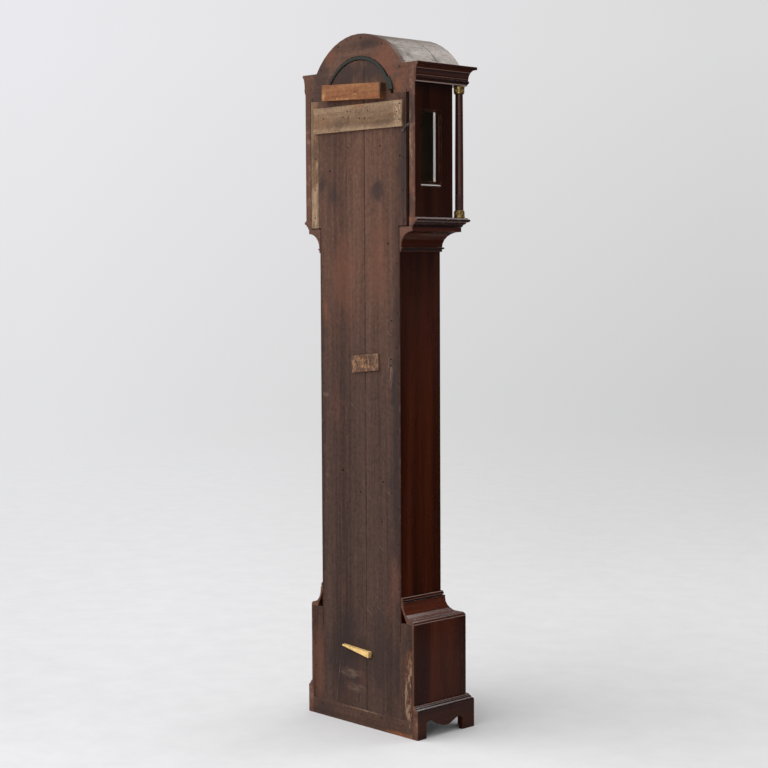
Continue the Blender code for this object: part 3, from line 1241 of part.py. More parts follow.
def hand_outline(length, hub, blade, clockwise):
    """A hand with a round hub and a blade given as (share of the length, half-width) pairs."""
    start = asin(blade[0][1] / hub)
    points = [(width, length * share) for share, width in blade]
    points += [(-x, y) for x, y in reversed(points)]
    turns = [pi / 2 + start + (2 * pi - 2 * start) * i / 16 for i in range(1, 16)]
    points += [(hub * cos(a), hub * sin(a)) for a in turns]
    spin = Matrix.Rotation(-clockwise, 2)
    return [tuple(spin @ Vector(point)) for point in points]


def make_hands():
    """Hour and minute hands on their pipes with the motion work behind the dial, and the seconds hand."""
    frame = standing(0, DIAL_CENTRE_Z)
    mid = CANNON_PIPE - PIPE_WALL / 2
    cannon = gear(CANNON_TEETH, CANNON_MODULE, TOOTH_WIDTH, pi)
    blade = ((0.06, 0.0020), (0.60, 0.0026), (0.70, 0.0058), (0.76, 0.0022), (0.99, 0.0007))
    outline = hand_outline(MINUTE_HAND, 0.0085, blade, MINUTE_REST)
    depths = (MINUTE_HAND_DEPTH, MINUTE_HAND_DEPTH + HAND_THICKNESS)
    minute = plate("minute_hand", [outline, circle(mid)], *depths, "blued_steel", frame)
    cannon_loops = [cannon, circle(mid)]
    cannon_depths = (CANNON_LAYER, CANNON_LAYER + CANNON_THICKNESS)
    cannon_pipe = (CANNON_PIPE - PIPE_WALL, CANNON_PIPE, CANNON_LAYER - GAP, depths[1] + GAP)
    join(
        minute,
        tube("cannon_pipe", *cannon_pipe, "", frame, True, 16),
        plate("cannon_wheel", cannon_loops, *cannon_depths, "", frame, True),
    )
    mid = HOUR_PIPE - PIPE_WALL / 2
    blade = ((0.08, 0.0022), (0.50, 0.0030), (0.62, 0.0078), (0.72, 0.0086))
    blade += ((0.80, 0.0050), (0.86, 0.0022), (0.99, 0.0008))
    outline = hand_outline(HOUR_HAND, 0.0105, blade, HOUR_REST)
    depths = (HOUR_HAND_DEPTH, HOUR_HAND_DEPTH + HAND_THICKNESS)
    hour = plate("hour_hand", [outline, circle(mid)], *depths, "blued_steel", frame)
    hour_wheel = gear(HOUR_TEETH, HOUR_MODULE, TOOTH_WIDTH, pi)
    hour_pipe = (HOUR_PIPE - PIPE_WALL, HOUR_PIPE, HOUR_LAYER - GAP, depths[1] + GAP)
    hour_loops = [hour_wheel, circle(mid)]
    join(
        hour,
        tube("hour_pipe", *hour_pipe, "", frame, True, 16),
        plate("hour_wheel", hour_loops, HOUR_LAYER, HOUR_LAYER + WHEEL_THICKNESS, "", frame, True),
    )
    frame = standing(-CANNON_DISTANCE, DIAL_CENTRE_Z)
    minute_loops = [gear(CANNON_TEETH, CANNON_MODULE, TOOTH_WIDTH, pi / CANNON_TEETH)]
    minute_wheel = plate("minute_wheel", minute_loops, *cannon_depths, "brass", frame)
    leaves = gear(MINUTE_PINION, HOUR_MODULE, LEAF_WIDTH, facing_gap(pi, MINUTE_PINION))
    leaf_depths = (CANNON_LAYER + WHEEL_THICKNESS / 2, HOUR_LAYER + 1.5 * WHEEL_THICKNESS)
    stud = (FRONT_PLATE_DEPTH + PLATE_THICKNESS / 6, leaf_depths[1] + 0.002)
    join(
        minute_wheel,
        plate("minute_pinion", [leaves], *leaf_depths, "", frame, True),
        rod("minute_stud", PIVOT_RADIUS, *stud, "", frame, True, 12),
    )
    frame = standing(0, ESCAPE_Z)
    inner = PIVOT_RADIUS + 2 * RUN_CLEARANCE
    outer = inner + PIPE_WALL
    blade = ((0.12, 0.0009), (0.60, 0.0008), (0.98, 0.0003))
    outline = hand_outline(SECONDS_HAND, 0.0032, blade, SECONDS_REST)
    depths = (SECONDS_HAND_DEPTH, SECONDS_HAND_DEPTH + HAND_THICKNESS)
    bore = circle((inner + outer) / 2, steps=12)
    seconds = plate("seconds_hand", [outline, bore], *depths, "blued_steel", frame)
    span = (DIAL_DEPTH - 0.003, depths[1] + GAP)
    join(seconds, tube("seconds_pipe", inner, outer, *span, "", frame, True, 12))


def make_dial():
    """The arched dial on four feet, and the raised chapter ring."""
    frame = standing()
    outline = arched(DIAL_WIDTH / 2, DIAL_BOTTOM_Z, DIAL_SHOULDER_Z, DIAL_ARCH)
    holes = [circle(DIAL_HOLE, 0, DIAL_CENTRE_Z), circle(WINDING_HOLE, 0, BARREL_Z)]
    holes.append(circle(SECONDS_HOLE, 0, ESCAPE_Z))
    dial = plate("dial_plate", [outline] + holes, DIAL_DEPTH, DIAL_DEPTH + DIAL_THICKNESS, "brass", frame)
    start = FRONT_PLATE_DEPTH + PLATE_THICKNESS + GAP
    for i, x in enumerate((-DIAL_FOOT_X, DIAL_FOOT_X)):
        for j, z in enumerate(DIAL_FOOT_Z):
            end = DIAL_DEPTH + DIAL_THICKNESS / 2
            join(dial, rod(f"dial_foot_{i}{j}", DIAL_FOOT_RADIUS, start, end, "", standing(x, z), True, 8))
    low = DIAL_DEPTH + DIAL_THICKNESS + GAP
    ring_frame = standing(0, DIAL_CENTRE_Z)
    span = (low, low + CHAPTER_THICKNESS)
    tube("chapter_ring", CHAPTER_INNER, CHAPTER_OUTER, *span, "silvered", ring_frame, steps=40)


def make_weight():
    """The weight under its pulley, and the gut line from the barrel round the pulley to the seat board."""
    frame = standing(0, PULLEY_AXIS_Z, LINE_DEPTH)
    half = PULLEY_WIDTH / 2
    flange = BARREL_RADIUS + PULLEY_FLANGE
    bore = AXLE_RADIUS + RUN_CLEARANCE
    ring = [(flange, half), (flange, half - 0.0015), (BARREL_RADIUS, 0.0015), (BARREL_RADIUS, -0.0015)]
    ring += [(flange, -half + 0.0015), (flange, -half), (bore, -half), (bore, half)]
    turned("going_pulley", ring, 16, "brass", frame, closed=True)
    cheek = half + 2 * GAP
    outside = cheek + STIRRUP_THICKNESS
    foot = -flange - 0.004
    side = STIRRUP_WIDTH / 2
    plate_loop = rectangle(-side, side, foot - STIRRUP_THICKNESS, side)
    bridge = (PULLEY_AXIS_Z + foot - STIRRUP_THICKNESS, PULLEY_AXIS_Z + foot)
    top = bridge[0] - WEIGHT_NECK
    bottom = top - WEIGHT_HEIGHT
    profile = [(0, bridge[1] - GAP), (0.003, bridge[1] - GAP), (0.003, top + 0.008)]
    profile += [(0.008, top + 0.006), (0.012, top)]
    profile += [(WEIGHT_RADIUS - 0.003, top), (WEIGHT_RADIUS, top - 0.003), (WEIGHT_RADIUS, bottom + 0.003)]
    profile += [(WEIGHT_RADIUS - 0.003, bottom), (0, bottom)]
    profile = [(radius, z - PULLEY_AXIS_Z) for radius, z in profile]
    weight = turned("going_weight", profile, 16, "iron", upright(0, LINE_DEPTH, PULLEY_AXIS_Z))
    depths = (LINE_DEPTH - outside + GAP, LINE_DEPTH + outside - GAP)
    join(weight, block("stirrup_foot", (-side + GAP, side - GAP), depths, bridge, helper=True))
    join(weight, plate("stirrup_back", [plate_loop], -outside, -cheek, "", frame, True))
    join(weight, plate("stirrup_front", [plate_loop], cheek, outside, "", frame, True))
    join(weight, rod("stirrup_axle", AXLE_RADIUS, -outside - 0.001, outside + 0.001, "", frame, True, 12))
    make_line()


def make_line():
    """A round gut line: down from the barrel, half round the pulley and up to the seat board."""
    curve = bpy.data.curves.new("going_line", "CURVE")
    curve.dimensions = "3D"
    curve.bevel_depth = LINE_RADIUS
    curve.bevel_resolution = 1
    curve.use_fill_caps = True
    path = [(-LINE_X, BARREL_Z)] + arc(LINE_X, PULLEY_AXIS_Z, pi, 2 * pi, 10)
    path.append((LINE_X, SEAT_TOP_Z + 0.002))
    spline = curve.splines.new("POLY")
    spline.points.add(len(path) - 1)
    for point, (x, z) in zip(spline.points, path):
        point.co = (x, BACK_Y - LINE_DEPTH, z, 1)
    guide = bpy.data.objects.new("going_line", curve)
    bpy.context.scene.collection.objects.link(guide)
    place("going_line", evaluated_mesh(guide), "gut")


clear_scene()
CLOCK = new_collection("longcase_clock")
HELPERS = new_collection("cutters", helper=True)
make_backboard()
make_base()
make_lower_cove()
make_trunk()
make_upper_cove()
make_trunk_door()
make_hood()
make_hood_door()
make_hook()
make_plates()
make_train()
make_anchor()
make_pendulum()
make_dial()
make_hands()
make_weight()
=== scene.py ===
"""Longcase clock: the finishes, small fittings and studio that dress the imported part."""

import json
from math import cos, pi, radians, sin

import bmesh
import bpy
from bpy.props import FloatProperty, FloatVectorProperty, PointerProperty
from bpy.types import Operator, Panel, PropertyGroup
from mathutils import Matrix, Vector

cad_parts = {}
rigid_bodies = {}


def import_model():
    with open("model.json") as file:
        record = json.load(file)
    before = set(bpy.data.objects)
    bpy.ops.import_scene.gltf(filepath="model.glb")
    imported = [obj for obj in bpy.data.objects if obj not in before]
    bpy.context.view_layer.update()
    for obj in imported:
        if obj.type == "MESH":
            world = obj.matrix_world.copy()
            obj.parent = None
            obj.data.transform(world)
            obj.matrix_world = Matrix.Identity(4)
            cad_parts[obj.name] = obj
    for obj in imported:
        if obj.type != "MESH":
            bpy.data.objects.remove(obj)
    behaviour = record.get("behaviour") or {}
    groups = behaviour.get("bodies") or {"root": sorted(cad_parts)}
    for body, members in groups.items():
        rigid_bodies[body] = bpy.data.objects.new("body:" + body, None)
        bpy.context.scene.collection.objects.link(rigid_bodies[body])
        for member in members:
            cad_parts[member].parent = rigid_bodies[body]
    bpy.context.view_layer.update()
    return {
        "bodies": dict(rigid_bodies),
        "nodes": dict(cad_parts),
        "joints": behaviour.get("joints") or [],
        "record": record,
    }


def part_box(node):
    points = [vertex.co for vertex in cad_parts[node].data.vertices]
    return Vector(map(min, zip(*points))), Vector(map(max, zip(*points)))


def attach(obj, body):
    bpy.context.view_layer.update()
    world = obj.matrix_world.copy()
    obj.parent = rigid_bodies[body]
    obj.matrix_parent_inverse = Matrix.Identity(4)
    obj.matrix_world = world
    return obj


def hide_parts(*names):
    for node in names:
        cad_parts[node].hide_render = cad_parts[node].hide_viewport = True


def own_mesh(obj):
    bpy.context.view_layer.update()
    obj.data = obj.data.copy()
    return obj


bl_info = {
    "name": "Longcase clock dressing",
    "version": (1, 0, 0),
    "blender": (4, 5, 0),
    "location": "View3D > Sidebar > Longcase",
    "description": "Dresses a longcase clock with aged wood, brass fittings, a dial and a studio",
    "category": "Object",
}

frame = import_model()

# Places on the case, in metres: depths run forwards from the back plane
BACK_Y = 0.11985
ARCH_CENTRE_Z = 1.965
DIAL_CENTRE_Z = 1.829
DIAL_FACE_Y = BACK_Y - 0.154
CHAPTER_FACE_Y = BACK_Y - 0.1558
TRUNK_FRONT_DEPTH = 0.1775
BARREL_Z = 1.77492
LINE_DEPTH = 0.100
CORNICE_BOTTOM_Z = 2.031
CORNICE_TOP_Z = 2.093
SOFFIT_RADIUS = 0.174
ARCH_SPRING_X = 0.200
ARCH_NAIL_RADIUS = 0.222
SECONDS_Z = 1.879
BOSS_Z = 2.034
HOOK_SCREW = (-0.2045, 1.886)
HOOK_STAPLE = (-0.2335, 1.904)
DOOR_KNOB_Z = 1.800
LINE_X = 0.0193
LINE_RADIUS = 0.001
LINE_END_Z = 1.717
PULLEY_AXIS_Z = 0.680
SEAT_TOP_Z = 1.715
SILL_Z = 1.716
SILL_DEPTHS = (0.0265, 0.1135)

# Grains of the worn places: a noise's scale along each axis, and how far it breaks the place up
CHIPPED = ((110.0, 110.0, 40.0), 0.9)
CRACKED = ((190.0, 190.0, 240.0), 0.9)
FINE = ((160.0, 160.0, 30.0), 0.6)
SMEARED = ((30.0, 30.0, 10.0), 0.3)
SOFT = ((14.0, 14.0, 9.0), 0.0)
THIN = ((130.0, 130.0, 16.0), 1.0)
WIPED = ((22.0, 22.0, 110.0), 0.8)

# Directions of the wood's grain: the scale of its streaks along each axis
UPRIGHT = (70.0, 70.0, 3.0)
LEVEL = (4.0, 4.0, 110.0)
ACROSS = (3.0, 60.0, 60.0)
ROOF_GRAIN = (34.0, 3.4, 34.0)
EVEN = (1.0, 1.0, 1.0)
STILL = (0.0, 0.0, 0.0)


def tone(name, text, value):
    """A colour property, in linear light."""
    return FloatVectorProperty(
        name=name, description=text, default=value, size=3, min=0.0, max=1.0, subtype="COLOR"
    )


def length(name, text, value):
    """A length property, in metres."""
    return FloatProperty(name=name, description=text, default=value, min=0.0, unit="LENGTH")


def amount(name, text, value, kind="NONE"):
    """A strength, or an angle in radians."""
    return FloatProperty(name=name, description=text, default=value, subtype=kind)


class ClockColours(PropertyGroup):
    """Colours of the finishes."""

    mahogany_deep: tone("Mahogany deep", "Dark lines in the polished mahogany", (0.0085, 0.0010, 0.0003))
    mahogany_red: tone("Mahogany red", "Body of the polished mahogany", (0.0290, 0.0034, 0.0008))
    mahogany_light: tone("Mahogany light", "Light lines in the polished mahogany", (0.086, 0.0160, 0.0040))
    mahogany_bare: tone("Mahogany bare", "Unpolished back edges of the case", (0.150, 0.060, 0.035))
    mahogany_worn: tone("Mahogany worn", "Edges where the polish has gone", (0.215, 0.115, 0.078))
    board_dark: tone("Board dark", "Dark lines in the back boards", (0.034, 0.0148, 0.0102))
    board_brown: tone("Board brown", "Body of the back boards", (0.098, 0.0440, 0.0285))
    board_pale: tone("Board pale", "Dry lines in the back boards", (0.165, 0.081, 0.051))
    board_red: tone("Board red", "Red stain in patches on the back boards", (0.165, 0.060, 0.033))
    # Board smoke is a dark stain on the back boards, and also painted shade where they lie recessed behind
    # the hood's arch.
    board_smoke_and_shade: tone("Board smoke", "Dark stain on the back boards", (0.034, 0.0205, 0.0182))
    board_scraped: tone("Board scraped", "Bare wood in scratches and scrapes", (0.330, 0.205, 0.130))
    arch_dark: tone("Arch dark", "Dark lines in the hood's arched back", (0.048, 0.022, 0.0160))
    arch_brown: tone("Arch brown", "Body of the hood's arched back", (0.098, 0.0465, 0.0300))
    arch_pale: tone("Arch pale", "Dry lines in the hood's arched back", (0.172, 0.088, 0.056))
    # Painted shade in the quirks and under the members of the mouldings; the same colour is the real dirt in
    # the back boards' seam.
    quirk_shade_and_seam_dirt: tone("Quirk grime", "Dirt in the quirks of the mouldings", (0.006, 0.004, 0.005))
    # Painted highlight along the window sills' edge.
    sill_highlight: tone("Sill light", "Rubbed edge of the window sills", (0.640, 0.600, 0.590))
    # Painted highlight on the edges of the mouldings.
    moulding_highlight: tone("Quirk edge", "Rubbed edges of the mouldings", (0.300, 0.235, 0.215))
    roof_brown: tone("Roof brown", "Roof boards under the dust", (0.085, 0.058, 0.045))
    roof_mid: tone("Roof mid", "Roof boards with thin dust", (0.400, 0.345, 0.305))
    roof_dust: tone("Roof dust", "Dust on the roof boards", (0.640, 0.585, 0.540))
    pine_dark: tone("Pine dark", "Rings in the orange pine", (0.098, 0.026, 0.0085))
    pine_orange: tone("Pine orange", "Body of the orange pine", (0.240, 0.078, 0.0260))
    pine_light: tone("Pine light", "Light wood of the orange pine", (0.430, 0.210, 0.090))
    batten_dark: tone("Batten dark", "Dark lines in the greyed pine", (0.095, 0.052, 0.029))
    batten_tan: tone("Batten tan", "Body of the greyed pine", (0.200, 0.112, 0.0560))
    batten_pale: tone("Batten pale", "Scraped wood of the greyed pine", (0.420, 0.290, 0.185))
    wedge_dark: tone("Wedge dark", "Rings in the fresh wedge", (0.520, 0.300, 0.105))
    wedge_yellow: tone("Wedge yellow", "Body of the fresh wedge", (0.860, 0.590, 0.225))
    oak_dark: tone("Oak dark", "Dark lines in the oak", (0.070, 0.036, 0.018))
    oak_brown: tone("Oak brown", "Body of the oak", (0.175, 0.100, 0.056))
    brass_bright: tone("Brass bright", "Clean brass", (0.70, 0.50, 0.20))
    brass_dull: tone("Brass dull", "Brass in the hollows", (0.24, 0.155, 0.060))
    silver_bright: tone("Silver bright", "Silvered brass", (0.78, 0.76, 0.70))
    silver_dull: tone("Silver dull", "Silvering where it has greyed", (0.52, 0.49, 0.42))
    steel_blue: tone("Steel blue", "Blued steel", (0.030, 0.038, 0.075))
    iron_dark: tone("Iron dark", "Body of the iron", (0.060, 0.055, 0.052))
    iron_rust: tone("Iron rust", "Rust on the iron", (0.120, 0.058, 0.032))
    nail_dark: tone("Nail dark", "Rusted heads of the old nails", (0.017, 0.010, 0.007))
    gut_tan: tone("Gut tan", "The gut line", (0.50, 0.36, 0.18))
    cloth_dark: tone("Cloth dark", "The draught strip behind the hood", (0.026, 0.029, 0.024))
    # Ink black is also painted shade: the nail holes, the keyhole and the screw slots.
    black_and_hole_shade: tone("Ink black", "Wax in the dial's numerals", (0.010, 0.009, 0.009))


class ClockSizes(PropertyGroup):
    """Sizes of the small fittings."""

    nail_head: length("Nail head", "Radius of the iron nail heads", 0.0026)
    strip_width: length("Draught strip", "Width of the strip round the arch", 0.0115)
    column_brass: length("Column brass", "Height of the columns' brass bases and capitals", 0.0235)
    engraving: length("Engraving", "Height of the wax in the dial's marks", 0.0002)
    casting: length("Casting", "Thickness of the cast scrolls on the dial", 0.0018)


class StudioSettings(PropertyGroup):
    """Light, floor and camera."""

    floor_left: tone("Floor left", "Pale floor on the bright side", (0.770, 0.772, 0.782))
    floor_right: tone("Floor right", "Pale floor on the dim side", (0.690, 0.690, 0.688))
    floor_mirrored: tone("Floor mirrored", "Near floor, seen in polished wood", (0.21, 0.19, 0.18))
    floor_dim: tone("Floor dim", "Far floor, seen in polished wood", (0.012, 0.010, 0.009))
    top_left: tone("Backdrop top left", "Upper backdrop on the bright side", (0.825, 0.818, 0.852))
    top_right: tone("Backdrop top right", "Upper backdrop on the dim side", (0.705, 0.705, 0.706))
    low_left: tone("Backdrop low left", "Lower backdrop on the bright side", (0.768, 0.768, 0.782))
    low_right: tone("Backdrop low right", "Lower backdrop on the dim side", (0.612, 0.612, 0.611))
    room_mirrored: tone("Room mirrored", "Share of the backdrop in polished surfaces", (0.55, 0.53, 0.52))
    room_glow: tone("Room glow", "Dim side's horizon, seen in polished wood", (0.200, 0.175, 0.170))
    room_dim: tone("Room dim", "Dim side higher up, seen in polished wood", (0.022, 0.020, 0.021))
    ambient: amount("Ambient", "Strength of the soft light all round", 0.58)
    key: amount("Key", "Strength of the main light", 2.05)
    key_spread: amount("Key spread", "Apparent width of the main light", radians(75), "ANGLE")
    rim: amount("Rim", "Strength of the light that lines the mouldings", 22.0)
    fill: amount("Fill", "Strength of the light on the clock's front", 14.0)
    glint: amount("Glint", "Strength of the strip light that shows in the columns", 17.0)
    floor_fade: length("Floor fade", "Distance over which the floor melts into the backdrop", 7.0)
    camera_place: FloatVectorProperty(
        name="Camera place", description="Where the camera stands", default=(-3.9485, 3.74355, 1.4482),
        subtype="TRANSLATION",
    )
    camera_heading: amount("Camera heading", "Direction of view on the floor plan", -0.7569, "ANGLE")
    camera_pitch: amount("Camera pitch", "Rise of the view above level", -0.0649, "ANGLE")
    camera_roll: amount("Camera roll", "Turn about the direction of view", -0.0046, "ANGLE")
    camera_lens: amount("Camera lens", "Focal length in mm, on a 36 mm sensor", 79.3)


# Shader building

def rgba(colour):
    """A tone with its alpha, for a colour input. A socket stays as it is."""
    return colour if isinstance(colour, bpy.types.NodeSocket) else (*tuple(colour)[:3], 1.0)


def scaled(tones, share):
    """Tones made darker or lighter by one share."""
    return [[min(1.0, part * share) for part in shade] for shade in tones]


class Net:
    """A node tree in the making: most methods add a node and return the socket that it gives."""

    def __init__(self, tree):
        self.tree = tree

    def put(self, kind, inputs=None, **settings):
        """Adds a node, sets its settings, and links or sets its inputs."""
        node = self.tree.nodes.new("ShaderNode" + kind)
        for key, value in settings.items():
            setattr(node, key, value)
        for key, value in (inputs or {}).items():
            if isinstance(value, bpy.types.NodeSocket):
                self.tree.links.new(value, node.inputs[key])
            else:
                node.inputs[key].default_value = value
        return node

    def use(self, name, **inputs):
        """A shared node group's outputs."""
        return self.put("Group", inputs, node_tree=bpy.data.node_groups[name]).outputs

    def give(self, **results):
        """Ends a node group with its outputs."""
        for label, socket in results.items():
            kind = "NodeSocketVector" if socket.type == "VECTOR" else "NodeSocketFloat"
            self.tree.interface.new_socket(label, in_out="OUTPUT", socket_type=kind)
        end = self.tree.nodes.new("NodeGroupOutput")
        for label, socket in results.items():
            self.tree.links.new(socket, end.inputs[label])

    def surface(self, **inputs):
        """Ends a material with a shader, whose inputs are named with _ for a space."""
        shader = self.put("BsdfPrincipled", {key.replace("_", " "): value for key, value in inputs.items()})
        self.put("OutputMaterial", {"Surface": shader.outputs["BSDF"]})

    def place(self):
        """Coordinates in the case's own frame."""
        return self.put("TexCoord").outputs["Object"]

    def stretched(self, scale, shift=STILL):
        """Those coordinates, scaled along each axis."""
        values = {"Vector": self.place(), "Location": shift, "Scale": scale}
        return self.put("Mapping", values).outputs["Vector"]

    def axis(self, vector, name):
        return self.put("SeparateXYZ", {0: vector}).outputs[name]

    def normal(self):
        return self.put("NewGeometry").outputs["Normal"]

    def vector(self, operation, first, second=STILL):
        node = self.put("VectorMath", {0: first, 1: second}, operation=operation)
        return node.outputs["Value" if operation in ("DOT_PRODUCT", "LENGTH") else 0]

    def noise(self, vector, scale, detail=4.0, roughness=0.55, distortion=0.0):
        values = {"Scale": scale, "Detail": detail, "Roughness": roughness, "Distortion": distortion}
        return self.put("TexNoise", {"Vector": vector, **values}).outputs["Fac"]

    def spread(self, value, low, high, start=0.0, end=1.0):
        """Maps low..high to start..end and stops there."""
        node = self.put("MapRange", {"Value": value, 1: low, 2: high, 3: start, 4: end}, clamp=True)
        return node.outputs["Result"]

    def sums(self, operation, first, second=0.0):
        return self.put("Math", {0: first, 1: second}, operation=operation).outputs[0]

    def plus(self, first, second):
        return self.sums("ADD", first, second)

    def less(self, first, second):
        return self.sums("SUBTRACT", first, second)

    def times(self, first, second):
        return self.sums("MULTIPLY", first, second)

    def most(self, first, second):
        return self.sums("MAXIMUM", first, second)

    def away(self, value, middle):
        """How far a value is from a middle, either way."""
        return self.sums("ABSOLUTE", self.less(value, middle))

    def mix(self, factor, first, second, blend="MIX"):
        """Blends two colours, each a tone or a socket."""
        values = {0: factor, 6: rgba(first), 7: rgba(second)}
        return self.put("Mix", values, data_type="RGBA", blend_type=blend).outputs[2]

    def dim(self, colour, value):
        """Multiplies a colour by a number."""
        grey = self.put("CombineColor", {0: value, 1: value, 2: value}).outputs[0]
        return self.mix(1.0, colour, grey, "MULTIPLY")

    def bump(self, height, strength, distance, **inputs):
        values = {"Height": height, "Strength": strength, "Distance": distance, **inputs}
        return self.put("Bump", values).outputs["Normal"]


def new_group(name, **inputs):
    """An empty node group and its inputs, each with its default: a number, or else a vector."""
    tree = bpy.data.node_groups.new(name, "ShaderNodeTree")
    for label, value in inputs.items():
        kind = "NodeSocketFloat" if isinstance(value, float) else "NodeSocketVector"
        tree.interface.new_socket(label, in_out="INPUT", socket_type=kind).default_value = value
    return Net(tree), tree.nodes.new("NodeGroupInput").outputs


def new_material(name):
    """An empty material."""
    material = bpy.data.materials.new(name)
    material.use_nodes = True
    material.node_tree.nodes.clear()
    return Net(material.node_tree)


def make_grain_group():
    """Wood: fine streaks, broad figure, open pores and mottling along the grain."""
    net, given = new_group("Wood grain", Vector=STILL, Waviness=0.4)
    drift = net.put("TexNoise", {"Vector": given["Vector"], "Scale": 0.35, "Detail": 2.0}).outputs["Color"]
    centred = net.vector("SUBTRACT", drift, (0.5, 0.5, 0.5))
    pushed = net.put("VectorMath", {0: centred, "Scale": given["Waviness"]}, operation="SCALE").outputs[0]
    wavy = net.vector("ADD", given["Vector"], pushed)
    net.give(
        Streak=net.spread(net.noise(wavy, 1.0, 6.0, 0.62), 0.30, 0.70),
        Figure=net.spread(net.noise(wavy, 0.16, 3.0, 0.5, 0.6), 0.32, 0.68),
        Pores=net.spread(net.noise(given["Vector"], 4.2, 2.0, 0.5), 0.60, 0.68),
        Mottle=net.spread(net.noise(net.place(), 95.0, 5.0, 0.7), 0.32, 0.68),
    )


def make_wear_group():
    """Edges that hands and cloths have rubbed, broken up by a noise."""
    net, given = new_group("Edge wear", Radius=0.003, Amount=0.5)
    soft = net.put("Bevel", {"Radius": given["Radius"]}, samples=4).outputs["Normal"]
    edge = net.spread(net.vector("DOT_PRODUCT", soft, net.normal()), 0.99, 0.80)
    broken = net.spread(net.noise(net.place(), 38.0, 5.0, 0.65), 0.40, 0.62)
    net.give(Mask=net.times(net.times(edge, broken), given["Amount"]), Normal=soft)


def make_patch_group():
    """Uneven patches: stain, dirt, tarnish or rust."""
    net, given = new_group("Patches", Vector=STILL, Scale=6.0, Amount=0.5)
    broad = net.noise(given["Vector"], given["Scale"], 4.0, 0.6, 0.3)
    low = net.less(0.72, net.times(given["Amount"], 0.40))
    net.give(Mask=net.spread(broad, low, net.plus(low, 0.16)))


def make_dust_group():
    """Dust that settles on faces that look up."""
    net, given = new_group("Dust", Amount=0.5)
    upward = net.spread(net.axis(net.normal(), "Z"), 0.2, 0.9)
    lying = net.times(upward, net.spread(net.noise(net.place(), 14.0), 0.25, 0.65))
    net.give(Mask=net.times(lying, given["Amount"]))


def make_scratch_group():
    """Thin scratches in two directions, gathered in places."""
    net, given = new_group("Scratches", Amount=0.5)
    place = net.place()
    lines = []
    for tilt, scale in ((0.16, (230.0, 230.0, 8.0)), (-1.0, (190.0, 190.0, 15.0))):
        turned = net.put("Mapping", {"Vector": place, "Rotation": (0.0, tilt, 0.0)}).outputs["Vector"]
        drawn = net.put("Mapping", {"Vector": turned, "Scale": scale}).outputs["Vector"]
        lines.append(net.spread(net.noise(drawn, 1.0, 2.0, 0.5), 0.69, 0.76))
    gathered = net.spread(net.noise(place, 9.0, 3.0, 0.6), 0.48, 0.62)
    net.give(Mask=net.times(net.times(net.most(*lines), gathered), given["Amount"]))


def make_spot_group():
    """One worn or stained place on the back, broken up towards its edge."""
    net, given = new_group("Spot", Centre=STILL, Reach=(0.1, 1.0, 0.1), Grain=(60.0, 60.0, 60.0), Break=0.0)
    place = net.place()
    moved = net.vector("SUBTRACT", place, given["Centre"])
    away = net.vector("LENGTH", net.vector("DIVIDE", moved, given["Reach"]))
    drawn = net.vector("MULTIPLY", place, given["Grain"])
    ragged = net.times(net.less(net.noise(drawn, 1.0, 4.0, 0.65), 0.5), 2.2)
    lines = net.spread(net.noise(drawn, 1.7, 3.0, 0.6), 0.45, 0.58)
    kept = net.less(1.0, net.times(net.less(1.0, lines), given["Break"]))
    net.give(Mask=net.times(net.spread(net.plus(away, ragged), 1.0, 0.35), kept))


def add_spots(net, colour, spots):
    """Lays worn places over a colour: each has a tone, a place, a reach, a grain and a strength."""
    for shade, (x, z), (wide, tall), (grain, broken), strength in spots:
        spot = net.use("Spot", Centre=(x, BACK_Y, z), Reach=(wide, 1.0, tall), Grain=grain, Break=broken)
        colour = net.mix(net.times(spot["Mask"], strength), colour, shade)
    return colour


def add_seam(net, colour, x, dirt):
    """Dirt in the joint between two boards that meet at x."""
    place = net.place()
    line = net.spread(net.away(net.axis(place, "X"), x), 0.0030, 0.0010)
    uneven = net.spread(net.noise(place, 5.0, 3.0), 0.30, 0.62, 0.35, 1.0)
    return net.mix(net.times(line, uneven), colour, dirt)


def add_shade(net, colour, tint, full, gone):
    """Paints shade: multiplies a colour by a tint that is full at the first height and gone at the second."""
    return net.mix(net.spread(net.axis(net.place(), "Z"), gone, full), colour, tint, "MULTIPLY")


def add_lines(net, colour, lines, arched):
    """Painted shade and painted highlight lines along a moulding: each has a height, a half width, a tone and
    a strength.
    """
    place = net.place()
    height = net.axis(place, "Z")
    if arched:
        across = net.axis(place, "X")
        rise = net.less(height, ARCH_CENTRE_Z)
        out = net.sums("SQRT", net.plus(net.sums("POWER", across, 2.0), net.sums("POWER", rise, 2.0)))
        over = net.plus(out, CORNICE_BOTTOM_Z - SOFFIT_RADIUS)
        beside = net.sums("GREATER_THAN", net.sums("ABSOLUTE", across), ARCH_SPRING_X)
        height = net.plus(net.times(beside, height), net.times(net.less(1.0, beside), over))
    for middle, reach, shade, strength in lines:
        line = net.spread(net.away(height, middle), reach, reach * 0.3, 0.0, strength)
        colour = net.mix(line, colour, shade)
    return colour


def bare_colour(net, tones, stretch, stain, patches, waviness, blot_scale, pale, shift=STILL):
    """Dark, body and pale tones along the grain, with stain: the colour, and the grain it follows."""
    dark, body, light = tones
    grain = net.use("Wood grain", Vector=net.stretched(stretch, shift), Waviness=waviness)
    blot = net.use("Patches", Vector=net.stretched((1.0, 1.0, 0.45), shift), Scale=blot_scale, Amount=patches)
    colour = net.mix(grain["Streak"], dark, body)
    colour = net.mix(net.times(grain["Figure"], pale), colour, light)
    colour = net.mix(net.times(blot["Mask"], 0.7), colour, stain)
    colour = net.dim(colour, net.spread(grain["Mottle"], 0.0, 1.0, 0.72, 1.28))
    return net.mix(net.times(grain["Pores"], 0.45), colour, dark), grain


